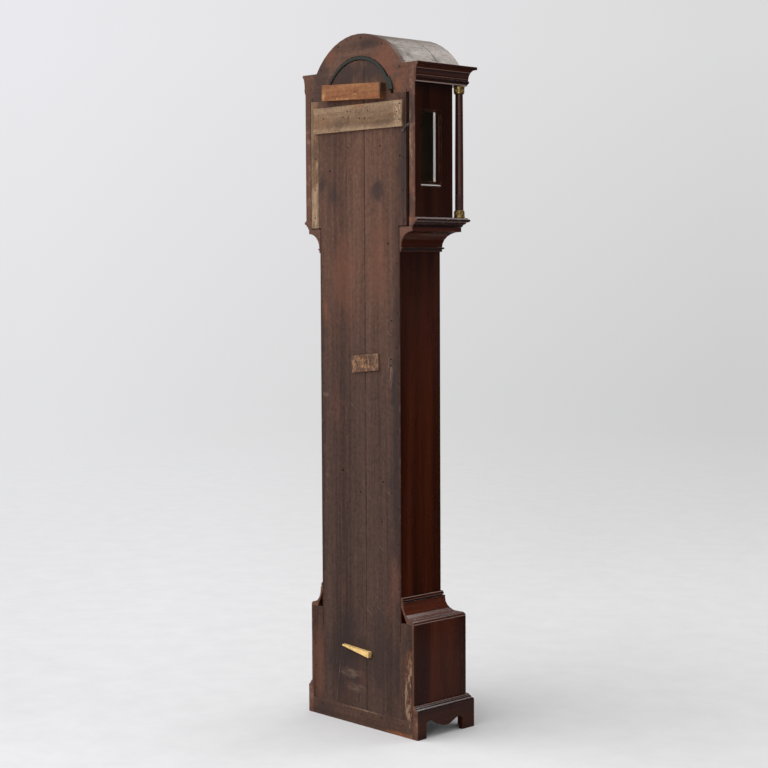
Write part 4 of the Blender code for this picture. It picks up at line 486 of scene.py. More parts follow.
def bare_wood(
    name, tones, stretch, stain, patches, dust=0.25, bump=0.35, waviness=0.4, shift=STILL, spots=(),
    seam=None, shade=None, scraped=None, blot_scale=7.0, pale=0.55,
):
    """Unpolished wood with stain, scratches, wear and dust, and painted shade where a shade is given."""
    net = new_material(name)
    wear = net.use("Edge wear", Radius=0.0025, Amount=0.65)
    colour, grain = bare_colour(net, tones, stretch, stain, patches, waviness, blot_scale, pale, shift)
    colour = add_spots(net, colour, spots)
    if shade:
        colour = add_shade(net, colour, *shade)
    if scraped:
        scrape, strength = scraped
        colour = net.mix(net.use("Scratches", Amount=strength)["Mask"], colour, scrape)
    if seam:
        colour = add_seam(net, colour, *seam)
    colour = net.mix(wear["Mask"], colour, *scaled(tones[2:], 1.5))
    net.surface(
        Base_Color=net.mix(net.use("Dust", Amount=dust)["Mask"], colour, (0.36, 0.32, 0.285)),
        Roughness=net.spread(grain["Streak"], 0.0, 1.0, 0.82, 0.68), Specular_IOR_Level=0.25,
        Normal=net.bump(grain["Streak"], bump, 0.0012, Normal=wear["Normal"]),
    )


def polished_wood(
    name, tones, stretch, worn, bare, coat=0.35, dust=0.22, spots=(), shade=None, specular=0.30, lines=(),
    roofed=None, cloudy=0.25,
):
    """Mahogany under an old polish, rubbed through at its edges and bare on the back of the case, with
    painted shade and painted shade and highlight lines where they are given.
    """
    deep, body, light = tones
    net = new_material(name)
    grain = net.use("Wood grain", Vector=net.stretched(stretch), Waviness=0.5)
    wear = net.use("Edge wear", Radius=0.0026, Amount=0.55)
    colour = net.mix(grain["Streak"], deep, body)
    colour = net.mix(net.times(grain["Figure"], 0.65), colour, light)
    colour = net.mix(net.times(grain["Pores"], 0.5), colour, deep)
    cloud = net.noise(net.stretched([part * 0.22 for part in stretch]), 1.0, 3.0, 0.5)
    colour = net.dim(colour, net.spread(cloud, 0.34, 0.66, 1.0 - cloudy, 1.0 + cloudy))
    if shade:
        colour = add_shade(net, colour, *shade)
    colour = net.mix(wear["Mask"], colour, worn)
    colour = net.mix(net.use("Dust", Amount=dust)["Mask"], colour, (0.30, 0.25, 0.215))
    colour = add_lines(net, colour, lines, roofed is not None)
    place = net.place()
    back = net.spread(net.axis(place, "Y"), BACK_Y - 0.0030, BACK_Y - 0.0008)
    raw = net.mix(grain["Streak"], *scaled((bare,), 0.45), bare)
    rubbed = net.spread(net.noise(place, 30.0, 5.0, 0.7), 0.52, 0.66, 0.0, 0.75)
    colour = net.mix(back, colour, add_spots(net, net.mix(rubbed, raw, worn), spots))
    dulled = net.most(net.use("Patches", Vector=net.stretched(EVEN), Scale=9.0, Amount=0.35)["Mask"], back)
    if roofed:
        upward = net.spread(net.axis(net.normal(), "Z"), 0.25, 0.40)
        top = net.times(upward, net.spread(net.axis(place, "Z"), CORNICE_TOP_Z, CORNICE_TOP_Z + 0.003))
        colour = net.mix(top, colour, bare_colour(net, *roofed)[0])
        dulled = net.most(dulled, top)
    net.surface(
        Base_Color=colour, Roughness=net.spread(dulled, 0.0, 1.0, 0.26, 0.55), Specular_IOR_Level=specular,
        Coat_Weight=net.spread(dulled, 0.0, 1.0, coat, 0.0), Coat_Roughness=0.10,
        Normal=net.bump(grain["Streak"], 0.10, 0.0006, Normal=wear["Normal"]),
    )


def aged_metal(name, bright, dull, roughness, patches=0.45, metallic=1.0, edge=0.35):
    """Metal with tarnish in patches and brighter edges."""
    net = new_material(name)
    wear = net.use("Edge wear", Radius=0.0008, Amount=edge)
    blot = net.use("Patches", Vector=net.stretched(EVEN), Scale=24.0, Amount=patches)["Mask"]
    colour = net.mix(net.times(blot, 0.7), bright, dull)
    net.surface(
        Base_Color=net.mix(wear["Mask"], colour, *scaled((bright,), 1.3)), Metallic=metallic,
        Roughness=net.spread(blot, 0.0, 1.0, roughness, min(1.0, roughness + 0.22)), Normal=wear["Normal"],
    )


def clear_glass(name):
    """Old window glass."""
    net = new_material(name)
    ripple = net.noise(net.stretched(EVEN), 18.0, 1.0)
    net.surface(
        Base_Color=(0.965, 0.975, 0.978, 1.0), Roughness=0.02, Metallic=0.0, Transmission_Weight=1.0,
        IOR=1.45, Normal=net.bump(ripple, 0.06, 0.002),
    )


def plain_matt(name, colour, roughness, scale, depth, specular=0.5):
    """Cloth, ink, gut or rust: one colour with a fine uneven surface."""
    net = new_material(name)
    mottle = net.noise(net.stretched(EVEN), scale, 4.0)
    net.surface(
        Base_Color=net.mix(mottle, *scaled((colour,), 0.6), *scaled((colour,), 1.4)), Roughness=roughness,
        Normal=net.bump(mottle, 0.4, depth), Specular_IOR_Level=specular,
    )


NODE_LOOKS = {
    "mahogany_trunk": ("trunk_side_left", "trunk_side_right", "trunk_front", "trunk_door"),
    "mahogany_base": ("base_front", "base_side_left", "base_side_right"),
    "mahogany_hood": ("hood_side_left", "hood_side_right", "hood_door"),
    "mahogany_turned": ("column_left", "column_right"),
    "mahogany_upper": ("upper_cove", "hood_base", "skirting"),
    "mahogany_lower": ("lower_cove",),
    "mahogany_level": ("hood_front", "hood_cornice"),
    "board_wide": ("backboard_wide",),
    "board_narrow": ("backboard_narrow", "backboard_ear"),
    "board_strip": ("base_back_strip_left", "base_back_strip_right"),
    "board_level": ("base_back_rail",),
    "arch_wood": ("hood_rear_arch",),
    "roof_wood": ("hood_roof",),
    "oak": ("seat_board",),
    "orange_pine": ("top_spacer_block",),
    "worn_pine": ("mid_spacer_block",),
    "greyed_pine": ("cross_batten",),
    "greyed_strip": ("edge_strip",),
    "fresh_pine": ("spacer_wedge",),
    "brass": (
        "trunk_hinge_upper", "trunk_hinge_lower", "back_plate", "front_plate", "back_cock", "dial_plate",
        "going_barrel", "great_wheel", "centre_wheel", "third_wheel", "escape_wheel", "minute_wheel",
        "pendulum_bob", "going_pulley",
    ),
    "silvered": ("chapter_ring",),
    "blued_steel": ("hour_hand", "minute_hand", "seconds_hand", "anchor"),
    "iron": ("trunk_lock", "lock_bolt", "hood_hook", "pendulum_rod", "going_weight"),
    "window_glass": ("hood_window_left", "hood_window_right", "hood_door_glass"),
    "gut": ("going_line",),
}


def roof_tones(colours):
    return (colours.roof_brown, colours.roof_mid, colours.roof_dust)


def make_mahogany(colours):
    """The polished case, with its mouldings, and the worn back edges of the hood's sides."""
    red = (colours.mahogany_deep, colours.mahogany_red, colours.mahogany_light)
    rubbed = colours.mahogany_worn
    bare = colours.mahogany_bare
    smoke_and_shade = colours.board_smoke_and_shade
    orange = colours.pine_orange
    # Painted shade: the trunk's colour darkens towards the top, fully at 1.52 m, under the upper cove.
    under_cove_shade = ((0.62, 0.56, 0.60), 1.52, 1.34)
    # Painted shade: the hood's sides and door darken towards the top, fully at the cornice's foot, where the
    # cornice overhangs.
    under_cornice_shade = ((0.30, 0.32, 0.34), CORNICE_BOTTOM_Z, 1.995)
    ends = ((orange, (-0.2257, 1.615), (0.016, 0.022), ((60.0, 60.0, 60.0), 0.5), 0.9),)
    stile = ends + (
        (smoke_and_shade, (-0.234, 1.95), (0.03, 0.085), SMEARED, 0.75),
        (orange, (-0.236, 1.85), (0.014, 0.06), CHIPPED, 0.7),
        (orange, (-0.236, 1.7), (0.012, 0.08), CHIPPED, 0.6),
        (colours.board_scraped, (-0.232, 1.84), (0.014, 0.11), CHIPPED, 0.7),
        (smoke_and_shade, (-0.226, 1.76), (0.01, 0.2), SMEARED, 0.8),
        (smoke_and_shade, (-0.236, 1.665), (0.016, 0.04), SMEARED, 0.7),
    )
    # Painted shade and painted highlights along the mouldings: the dark lines stand for the shade in their
    # quirks and under their members, the light lines for highlights on their edges.
    painted_shade = colours.quirk_shade_and_seam_dirt
    edge = colours.moulding_highlight
    cornice_lines = (
        (2.0845, 0.0022, painted_shade, 0.95), (2.0730, 0.0016, edge, 0.35), (2.0660, 0.0030, painted_shade, 0.95),
        (2.0520, 0.0016, edge, 0.30), (2.0420, 0.0040, painted_shade, 0.95), (2.0335, 0.0022, edge, 0.90),
    )
    upper_lines = (
        (1.6195, 0.0026, edge, 0.95), (1.6140, 0.0028, painted_shade, 0.95), (1.6085, 0.0018, edge, 0.45),
        (1.6020, 0.0034, painted_shade, 0.95), (1.5950, 0.0030, painted_shade, 0.90), (1.5770, 0.0030, painted_shade, 0.95),
        (1.5240, 0.0090, painted_shade, 0.85), (0.1045, 0.0016, edge, 0.50), (0.0995, 0.0022, painted_shade, 0.90),
        (0.0950, 0.0018, edge, 0.55), (0.0905, 0.0026, painted_shade, 0.85),
    )
    cove_lines = (
        (0.4385, 0.0016, edge, 0.50), (0.4345, 0.0022, painted_shade, 0.95), (0.4300, 0.0016, edge, 0.45),
        (0.4255, 0.0026, painted_shade, 0.95), (0.3610, 0.0018, edge, 0.60),
    )
    # Painted highlight: a pale line along the top of each window sill.
    sill_highlight_lines = ((SILL_Z + 0.0040, 0.0026, colours.sill_highlight, 0.95),)
    roofing = (roof_tones(colours), ROOF_GRAIN, colours.roof_brown, 0.40, 1.2, 16.0, 0.95)

    def mahogany(name, share, stretch, worn=rubbed, raw=bare, **finish):
        polished_wood(f"mahogany_{name}", scaled(red, share), stretch, worn, raw, **finish)

    # The share scales the mahogany's tones for each part: besides the wood's own tone it paints light and
    # shade, lighter on the turned columns and the lower mouldings, darker on the hood's sides and cornice.
    # The trunk's worn and bare tones are darkened too.
    mahogany(
        "trunk", 0.70, UPRIGHT, *scaled((rubbed, bare), 0.48), coat=0.3, shade=under_cove_shade, specular=0.12,
        cloudy=0.55,
    )
    mahogany("base", 1.0, UPRIGHT, coat=0.4, specular=0.2, cloudy=0.12)
    mahogany("hood", 0.5, UPRIGHT, coat=0.5, spots=stile, shade=under_cornice_shade, specular=0.2)
    mahogany("turned", 1.3, UPRIGHT, coat=1.0, specular=0.6)
    mahogany("level", 0.6, LEVEL, coat=0.8, dust=0.08, lines=cornice_lines, roofed=roofing)
    mahogany("sill", 0.8, LEVEL, coat=0.8, dust=0.0, lines=sill_highlight_lines)
    mahogany("upper", 1.1, LEVEL, coat=0.7, dust=0.08, spots=ends, lines=upper_lines)
    mahogany("lower", 1.9, LEVEL, coat=0.35, dust=0.05, lines=cove_lines)


def make_boards(colours):
    """The unpolished boards of the back, the hood's arch and roof, and the seat board."""
    boards = (colours.board_dark, colours.board_brown, colours.board_pale)
    smoke_and_shade = colours.board_smoke_and_shade
    red = colours.board_red
    pale = colours.board_scraped
    orange = colours.pine_orange
    wide_spots = (
        # The first spot is painted shade at the top of the board, where it lies recessed behind the hood's
        # arch.
        (smoke_and_shade, (0.03, 2.08), (0.14, 0.07), SOFT, 0.8), (smoke_and_shade, (0.175, 1.735), (0.03, 0.06), SOFT, 0.75),
        (smoke_and_shade, (0.125, 1.7), (0.045, 0.045), SOFT, 0.65), (orange, (0.163, 1.33), (0.016, 0.06), FINE, 0.55),
        (red, (0.08, 1.45), (0.08, 0.2), SOFT, 0.45), (smoke_and_shade, (0.182, 0.9), (0.022, 0.7), SOFT, 0.6),
        (pale, (0.163, 1.06), (0.022, 0.01), FINE, 0.55), (smoke_and_shade, (0.05, 0.2), (0.13, 0.18), SOFT, 0.6),
        (pale, (0.045, 0.165), (0.06, 0.02), WIPED, 0.4), (pale, (0.02, 0.12), (0.055, 0.018), WIPED, 0.34),
    )
    narrow_spots = (
        # The first spot is painted shade at the top of the board, where it lies recessed behind the hood's
        # arch.
        (smoke_and_shade, (-0.04, 2.08), (0.1, 0.07), SOFT, 0.8), (smoke_and_shade, (-0.085, 1.715), (0.04, 0.05), SOFT, 0.75),
        (smoke_and_shade, (-0.172, 1.0), (0.03, 0.85), SOFT, 0.7), (red, (-0.09, 1.5), (0.06, 0.15), SOFT, 0.4),
        (smoke_and_shade, (-0.2, 1.75), (0.028, 0.22), SOFT, 0.8), (pale, (-0.14, 1.14), (0.012, 0.05), THIN, 0.6),
        (smoke_and_shade, (-0.09, 0.25), (0.11, 0.16), SOFT, 0.45),
    )
    strip_spots = (
        (orange, (-0.216, 0.23), (0.018, 0.08), CHIPPED, 0.65),
        (orange, (-0.222, 0.11), (0.016, 0.08), CHIPPED, 0.45),
        (pale, (-0.224, 0.205), (0.01, 0.07), CHIPPED, 0.7),
        (pale, (-0.216, 0.075), (0.018, 0.06), CHIPPED, 0.65),
        (pale, (-0.208, 0.15), (0.008, 0.06), CHIPPED, 0.8),
        (smoke_and_shade, (-0.205, 0.3), (0.025, 0.06), SOFT, 0.6), (red, (0.215, 0.18), (0.04, 0.14), SOFT, 0.36),
    )
    rail_spots = (
        (orange, (-0.18, 0.005), (0.085, 0.01), FINE, 0.9),
        (pale, (-0.005, 0.0525), (0.09, 0.004), FINE, 0.8),
        (pale, (-0.224, 0.024), (0.016, 0.034), THIN, 0.7), (smoke_and_shade, (0.17, 0.026), (0.07, 0.03), SOFT, 0.6),
    )
    arch_spots = (
        (smoke_and_shade, (0.18, 2.075), (0.06, 0.08), SOFT, 0.55), (smoke_and_shade, (-0.045, 2.166), (0.055, 0.02), SOFT, 0.7),
        (red, (-0.12, 2.08), (0.06, 0.08), SOFT, 0.6), (orange, (-0.181, 2.022), (0.02, 0.03), FINE, 0.6),
        (red, (0.13, 2.14), (0.03, 0.04), SOFT, 0.5), (smoke_and_shade, (0.2, 2.0), (0.05, 0.05), SOFT, 0.45),
    )
    backboard = {
        "seam": (-0.027, colours.quirk_shade_and_seam_dirt),
        # Painted shade: the back boards darken and cool towards the bottom, from 1.45 m down, fully below
        # 1.05 m.
        "shade": ((0.64, 0.68, 0.76), 1.05, 1.45),
    }
    board_grain = (75.0, 75.0, 1.7)
    bare_wood(
        "board_wide", boards, board_grain, red, 0.34, spots=wide_spots, scraped=(pale, 0.40), **backboard
    )
    bare_wood(
        "board_narrow", boards, board_grain, red, 0.40, shift=(3.0, 0.0, 1.0), spots=narrow_spots,
        scraped=(pale, 0.35), **backboard,
    )
    # Painted shade: the base strips and rail use the boards' tones darkened to 0.62, a shaded copy for the
    # bottom of the back.
    low = scaled(boards, 0.62)
    bare_wood(
        "board_strip", low, (80.0, 80.0, 2.5), red, 0.20, shift=(7.0, 0.0, 2.0), spots=strip_spots,
        scraped=(pale, 0.6),
    )
    bare_wood("board_level", low, (2.5, 80.0, 80.0), red, 0.25, spots=rail_spots, scraped=(pale, 0.8))
    arch = (colours.arch_dark, colours.arch_brown, colours.arch_pale)
    bare_wood("arch_wood", arch, ACROSS, red, 0.45, dust=0.6, spots=arch_spots, scraped=(pale, 0.3))
    bare_wood(
        "roof_wood", roof_tones(colours), ROOF_GRAIN, colours.roof_brown, 0.40, dust=0.0, bump=0.2,
        waviness=1.2, blot_scale=16.0, pale=0.95,
    )
    oak = (colours.oak_dark, colours.oak_brown, colours.oak_brown)
    bare_wood("oak", oak, ACROSS, colours.oak_dark, 0.3)


def make_pine(colours):
    """The blocks, batten, strip and wedge that were nailed on later."""
    dark = colours.pine_dark
    orange = colours.pine_orange
    light = colours.pine_light
    grey_dark = colours.batten_dark
    grey_pale = colours.batten_pale
    greyed = (grey_dark, colours.batten_tan, grey_pale)
    block_spots = (
        # The first spot is painted shade: a dark patch on the block's end face, which lies in shadow.
        (colours.board_dark, (-0.13, 2.02), (0.012, 0.06), SOFT, 0.9),
        (light, (0.14, 2.01), (0.014, 0.034), CHIPPED, 0.95),
        (light, (0.06, 1.998), (0.08, 0.006), CHIPPED, 0.85),
        (dark, (-0.008, 2.018), (0.014, 0.006), FINE, 0.8),
        (light, (-0.01, 2.01), (0.016, 0.004), FINE, 0.8), (light, (0.01, 2.04), (0.14, 0.006), FINE, 0.6),
    )
    batten_spots = (
        (grey_pale, (-0.186, 1.94), (0.02, 0.07), CHIPPED, 0.95),
        (light, (-0.01, 1.976), (0.05, 0.01), CHIPPED, 0.9),
        (grey_dark, (0.08, 1.925), (0.08, 0.022), SMEARED, 0.75),
        (grey_dark, (-0.02, 1.962), (0.06, 0.02), CHIPPED, 0.8),
        (grey_dark, (-0.11, 1.915), (0.07, 0.016), SMEARED, 0.55),
        (orange, (0.16, 1.93), (0.06, 0.04), SOFT, 0.22),
    )
    strip_wear = (
        (orange, (0.208, 1.985), (0.02, 0.03), SOFT, 0.12),
        (colours.board_smoke_and_shade, (0.212, 1.845), (0.014, 0.07), SOFT, 0.4),
        (grey_pale, (0.206, 1.64), (0.02, 0.08), FINE, 0.8),
    )
    mid_spots = (
        (colours.nail_dark, (-0.03, 1.172), (0.05, 0.022), CRACKED, 0.85),
        (light, (-0.012, 1.18), (0.03, 0.01), CHIPPED, 0.7),
        (light, (-0.04, 1.158), (0.03, 0.008), CHIPPED, 0.7),
    )
    bare_wood(
        "orange_pine", (dark, orange, light), (2.5, 90.0, 90.0), dark, 0.30, dust=0.1, waviness=0.9,
        spots=block_spots,
    )
    bare_wood(
        "greyed_pine", greyed, (3.0, 90.0, 90.0), grey_dark, 0.40, dust=0.2, spots=batten_spots,
        blot_scale=14.0,
    )
    bare_wood(
        "greyed_strip", greyed, (90.0, 90.0, 3.0), grey_pale, 0.50, dust=0.2, spots=strip_wear,
        blot_scale=16.0,
    )
    worn = scaled((dark, orange, grey_pale), 0.98)
    bare_wood(
        "worn_pine", worn, (25.0, 90.0, 60.0), colours.board_dark, 0.86, dust=0.05, waviness=0.9,
        blot_scale=105.0, spots=mid_spots,
    )
    fresh = (colours.wedge_dark, colours.wedge_yellow, colours.wedge_yellow)
    bare_wood("fresh_pine", fresh, (90.0, 90.0, 4.0), colours.wedge_dark, 0.2, dust=0.05)


def make_metals(colours):
    """The metals, and the glass, gut, cloth and wax."""
    brass = (colours.brass_bright, colours.brass_dull)
    aged_metal("brass", *brass, 0.28)
    aged_metal("cast_brass", *brass, 0.36, patches=0.6, edge=0.6)
    aged_metal("silvered", colours.silver_bright, colours.silver_dull, 0.42, metallic=0.6)
    aged_metal("blued_steel", colours.steel_blue, colours.black_and_hole_shade, 0.30, metallic=0.8)
    aged_metal("iron", colours.iron_dark, colours.iron_rust, 0.55, metallic=0.7)
    plain_matt("nail_iron", colours.nail_dark, 0.8, 300.0, 0.0002, specular=0.1)
    plain_matt("hole_shade", colours.black_and_hole_shade, 1.0, 300.0, 0.0001, specular=0.0)
    plain_matt("gut", colours.gut_tan, 0.6, 400.0, 0.0004)
    plain_matt("draught_cloth", colours.cloth_dark, 0.95, 160.0, 0.0008)
    # The wax also serves as painted shade in the keyhole and the screw slots.
    plain_matt("numeral_wax_and_slot_shade", colours.black_and_hole_shade, 0.5, 300.0, 0.0001)
    clear_glass("window_glass")


class CLOCK_OT_finishes(Operator):
    """Gives every solid of the clock its finish"""

    bl_idname = "clock.finishes"
    bl_label = "Finishes"

    def execute(self, context):
        for make_group in (
            make_grain_group, make_wear_group, make_patch_group, make_dust_group, make_scratch_group,
            make_spot_group,
        ):
            make_group()
        for make_looks in (make_mahogany, make_boards, make_pine, make_metals):
            make_looks(context.scene.clock_colours)
        for look, nodes in NODE_LOOKS.items():
            for node in nodes:
                mesh = frame["nodes"][node].data
                mesh.materials.clear()
                mesh.materials.append(bpy.data.materials[look])
        return {"FINISHED"}


# Piece building

def upright_frame(x, z, depth, side, out):
    """Local X along world X times side, Y up and Z to the front times out, at a depth from the back plane."""
    turn = Matrix(((side, 0, 0, 0), (0, 0, -out, 0), (0, 1, 0, 0), (0, 0, 0, 1)))
    return Matrix.Translation((x, BACK_Y - depth, z)) @ turn


def front_frame(x, z, depth):
    return upright_frame(x, z, depth, 1, 1)


def back_frame(x, z, depth):
    return upright_frame(x, z, depth, -1, -1)


def add_object(name, data, look, body):
    """Puts a finished shape in the scene, on the body that carries it."""
    data.materials.append(bpy.data.materials[look])
    piece = bpy.data.objects.new(name, data)
    bpy.context.scene.collection.objects.link(piece)
    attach(piece, body)
    return piece


def add_piece(name, shape, look, body, angle=radians(35)):
    bmesh.ops.recalc_face_normals(shape, faces=shape.faces)
    mesh = bpy.data.meshes.new(name)
    shape.to_mesh(mesh)
    shape.free()
    mesh.shade_smooth()
    mesh.set_sharp_from_angle(angle=angle)
    return add_object(name, mesh, look, body)


def add_wire(name, paths, thickness, look, body):
    """Round wire along paths of points, each with a share of the full thickness."""
    curve = bpy.data.curves.new(name, "CURVE")
    curve.dimensions = "3D"
    curve.bevel_depth = thickness
    curve.bevel_resolution = 2
    curve.use_fill_caps = True
    for path in paths:
        line = curve.splines.new("POLY")
        line.points.add(len(path) - 1)
        for point, (place, share) in zip(line.points, path):
            point.co = (*place, 1.0)
            point.radius = share
    return add_object(name, curve, look, body)


def turn_shape(shape, frame, profile, steps):
    """A turned form: (radius, height) points swept about the frame's Z axis."""
    verts = [shape.verts.new(frame @ Vector((radius, 0.0, height))) for radius, height in profile]
    edges = [shape.edges.new(pair) for pair in zip(verts, verts[1:])]
    axis = frame.to_3x3() @ Vector((0.0, 0.0, 1.0))
    bmesh.ops.spin(
        shape, geom=verts + edges, cent=frame.translation, axis=axis, angle=2 * pi, steps=steps,
        use_merge=True,
    )
    bmesh.ops.remove_doubles(shape, verts=shape.verts, dist=0.000001)


def slab(shape, frame, outline, thickness):
    """A flat outline raised along the frame's Z axis."""
    face = shape.faces.new([shape.verts.new(frame @ Vector((x, y, 0.0))) for x, y in outline])
    made = bmesh.ops.extrude_face_region(shape, geom=[face])["geom"]
    lifted = [item for item in made if isinstance(item, bmesh.types.BMVert)]
    bmesh.ops.translate(shape, verts=lifted, vec=frame.to_3x3() @ Vector((0.0, 0.0, thickness)))


def bar(shape, frame, start, end, widths, thickness):
    """A straight stroke between two points, with a width at each end."""
    along = (Vector(end) - Vector(start)).normalized()
    across = Vector((-along.y, along.x))
    first = across * widths[0] / 2
    last = across * widths[1] / 2
    corners = [Vector(start) - first, Vector(end) - last, Vector(end) + last, Vector(start) + first]
    slab(shape, frame, corners, thickness)


def skin(shape, rings):
    """Faces between rings of points, and one at each end."""
    for ring, following in zip(rings, rings[1:]):
        for i in range(len(ring)):
            j = (i + 1) % len(ring)
            shape.faces.new((ring[i], ring[j], following[j], following[i]))
    shape.faces.new(rings[0])
    shape.faces.new(rings[-1])


def hoop(shape, frame, radius, width, thickness, steps=96):
    """A thin flat ring."""
    low = radius - width / 2
    high = radius + width / 2
    profile = [(low, 0.0), (low, thickness), (high, thickness), (high, 0.0), (low, 0.0)]
    turn_shape(shape, frame, profile, steps)


def between(ends, share):
    """The value at a share of the way from one end to the other."""
    return ends[0] + (ends[1] - ends[0]) * share


def spiral(centre, radii, degrees, steps):
    """Points of a scroll, from the outer radius in."""
    points = []
    for i in range(steps + 1):
        radius = between(radii, i / steps)
        angle = radians(between(degrees, i / steps))
        points.append((centre[0] + radius * cos(angle), centre[1] + radius * sin(angle)))
    return points


def unsteady(number, reach):
    """A small repeatable offset, so that hand work doesn't line up."""
    return reach * sin(number * 12.9898) * cos(number * 4.1414)


BATTEN_NAILS = (
    (0.0616, 1.944), (0.038, 1.942), (-0.0144, 1.935), (-0.0375, 1.934), (0.042, 1.960), (-0.053, 1.957),
    (-0.1953, 1.969), (-0.1922, 1.920), (0.157, 1.9455), (-0.1813, 1.945),
)
BATTEN_LIFT = 0.0083
MID_BLOCK_NAILS = ((-0.06, 1.176), (0.004, 1.160))
MID_BLOCK_LIFT = 0.0063
OLD_HOLES = (
    (-0.143, 1.1836), (-0.143, 1.1636), (-0.147, 1.3036), (0.0825, 0.819), (0.051, 1.849), (-0.099, 1.845),
    (-0.133, 1.542), (-0.003, 0.756), (-0.1055, 0.7965), (-0.100, 0.669), (0.135, 1.778), (-0.188, 1.8104),
)


def nail_places():
    """Every nail head behind the case: where it is, and how far behind the back plane its wood reaches."""
    places = [(x, z, -BATTEN_LIFT) for x, z in BATTEN_NAILS]
    for i in range(9):
        z = 0.47 + 0.125 * i
        places.append((0.1745 + unsteady(i, 0.004), z + unsteady(i + 3, 0.02), 0.0))
        places.append((-0.1740 + unsteady(i + 7, 0.004), z + unsteady(i + 5, 0.02), 0.0))
    for i in range(4):
        places.append((0.222 + unsteady(i, 0.003), 0.085 + 0.075 * i, 0.0))
        places.append((-0.222 + unsteady(i + 2, 0.003), 0.085 + 0.075 * i, 0.0))
    for i in range(5):
        places.append((0.19 - 0.095 * i, 0.038 + unsteady(i, 0.004), 0.0))
    for z in (1.63, 1.72, 1.82):
        places.append((0.207 + unsteady(z, 0.004), z, 0.0))
        places.append((-0.202 + unsteady(z * 2, 0.006), z - 0.015, 0.0))
    places += [(x, z, -MID_BLOCK_LIFT) for x, z in MID_BLOCK_NAILS]
    return places


class CLOCK_OT_nails(Operator):
    """Drives the iron nails into the back, and paints the holes of lost ones as dark discs of painted shade
    """

    bl_idname = "clock.nails"
    bl_label = "Nails"

    def execute(self, context):
        head = context.scene.clock_sizes.nail_head
        profile = [(head, 0.0), (head * 0.85, head * 0.18), (head * 0.3, head * 0.24), (0.0, head * 0.24)]
        shape = bmesh.new()
        for x, z, depth in nail_places():
            turn_shape(shape, back_frame(x, z, depth), profile, 8)
        add_piece("back_nails", shape, "nail_iron", "case")
        shape = bmesh.new()
        for angle in (12, 38, 66, 93, 119, 148, 169):
            turn = radians(angle)
            x = ARCH_NAIL_RADIUS * cos(turn)
            z = ARCH_CENTRE_Z + ARCH_NAIL_RADIUS * sin(turn)
            turn_shape(shape, back_frame(x, z, 0.0), profile, 8)
        add_piece("hood_back_nails", shape, "nail_iron", "hood")
        shape = bmesh.new()
        # Painted shade: each lost nail's hole is a thin dark disc on the board.
        for i, (x, z) in enumerate(OLD_HOLES):
            wide = head * (1.20 + unsteady(i, 0.3))
            turn_shape(shape, back_frame(x, z, 0.0), [(wide, 0.0), (wide, 0.00012), (0.0, 0.00012)], 10)
        add_piece("old_nail_holes", shape, "hole_shade", "case")
        return {"FINISHED"}


def lay_strip(shape, degrees, middle, half, lift, steps):
    """A flat strip bent round the arch, whose middle, half width and lift follow its share of the way."""
    thick = 0.0022
    ease = 0.0012
    rows = []
    for i in range(steps + 1):
        share = i / steps
        angle = radians(between(degrees, share))
        low = middle(share) - half(share)
        high = middle(share) + half(share)
        ring = []
        for radius, rise in ((low, 0.0), (low + ease, thick), (high - ease, thick), (high, 0.0)):
            point = (radius * cos(angle), BACK_Y + lift(share) + rise, ARCH_CENTRE_Z + radius * sin(angle))
            ring.append(shape.verts.new(point))
        rows.append(ring)
    skin(shape, rows)


class CLOCK_OT_draught_strip(Operator):
    """Tacks the dark draught strip round the backboard's arched head"""

    bl_idname = "clock.draught_strip"
    bl_label = "Draught strip"

    def execute(self, context):
        half = context.scene.clock_sizes.strip_width / 2
        shape = bmesh.new()

        def slack(share):
            """How loose the strip is: held as far as its last tack, then loose to its end."""
            held = 0.72
            return max(0.0, share - held) / (1.0 - held)

        lay_strip(
            shape, (26, 161), lambda share: 0.1590 - 0.0030 * slack(share),
            lambda share: half * (0.80 + 0.30 * share + 0.15 * slack(share)),
            lambda share: 0.0008 + 0.0030 * slack(share), 56,
        )
        lay_strip(
            shape, (147, 162.5), lambda share: 0.1660 + 0.0010 * share, lambda share: half * 0.75,
            lambda share: 0.0014 + 0.0050 * share, 10,
        )
        add_piece("draught_strip", shape, "draught_cloth", "case")
        return {"FINISHED"}


class CLOCK_OT_hook_fittings(Operator):
    """Adds the hook's screw, and its staple on the hood"""

    bl_idname = "clock.hook_fittings"
    bl_label = "Hook fittings"

    def execute(self, context):
        behind = BACK_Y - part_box("hood_hook")[1].y
        head = [(0.0042, 0.0002), (0.0038, 0.0011), (0.002, 0.0016), (0.0, 0.0016)]
        shape = bmesh.new()
        turn_shape(shape, back_frame(*HOOK_SCREW, behind), head, 16)
        add_piece("hook_screw", shape, "iron", "case")
        x, z = HOOK_STAPLE
        bend = 0.006
        staple = []
        for i in range(13):
            angle = pi * i / 12
            staple.append(((x, BACK_Y + 0.001 + bend * sin(angle), z + bend * cos(angle)), 1.0))
        add_wire("hook_staple", [staple], 0.0011, "iron", "hood")
        return {"FINISHED"}


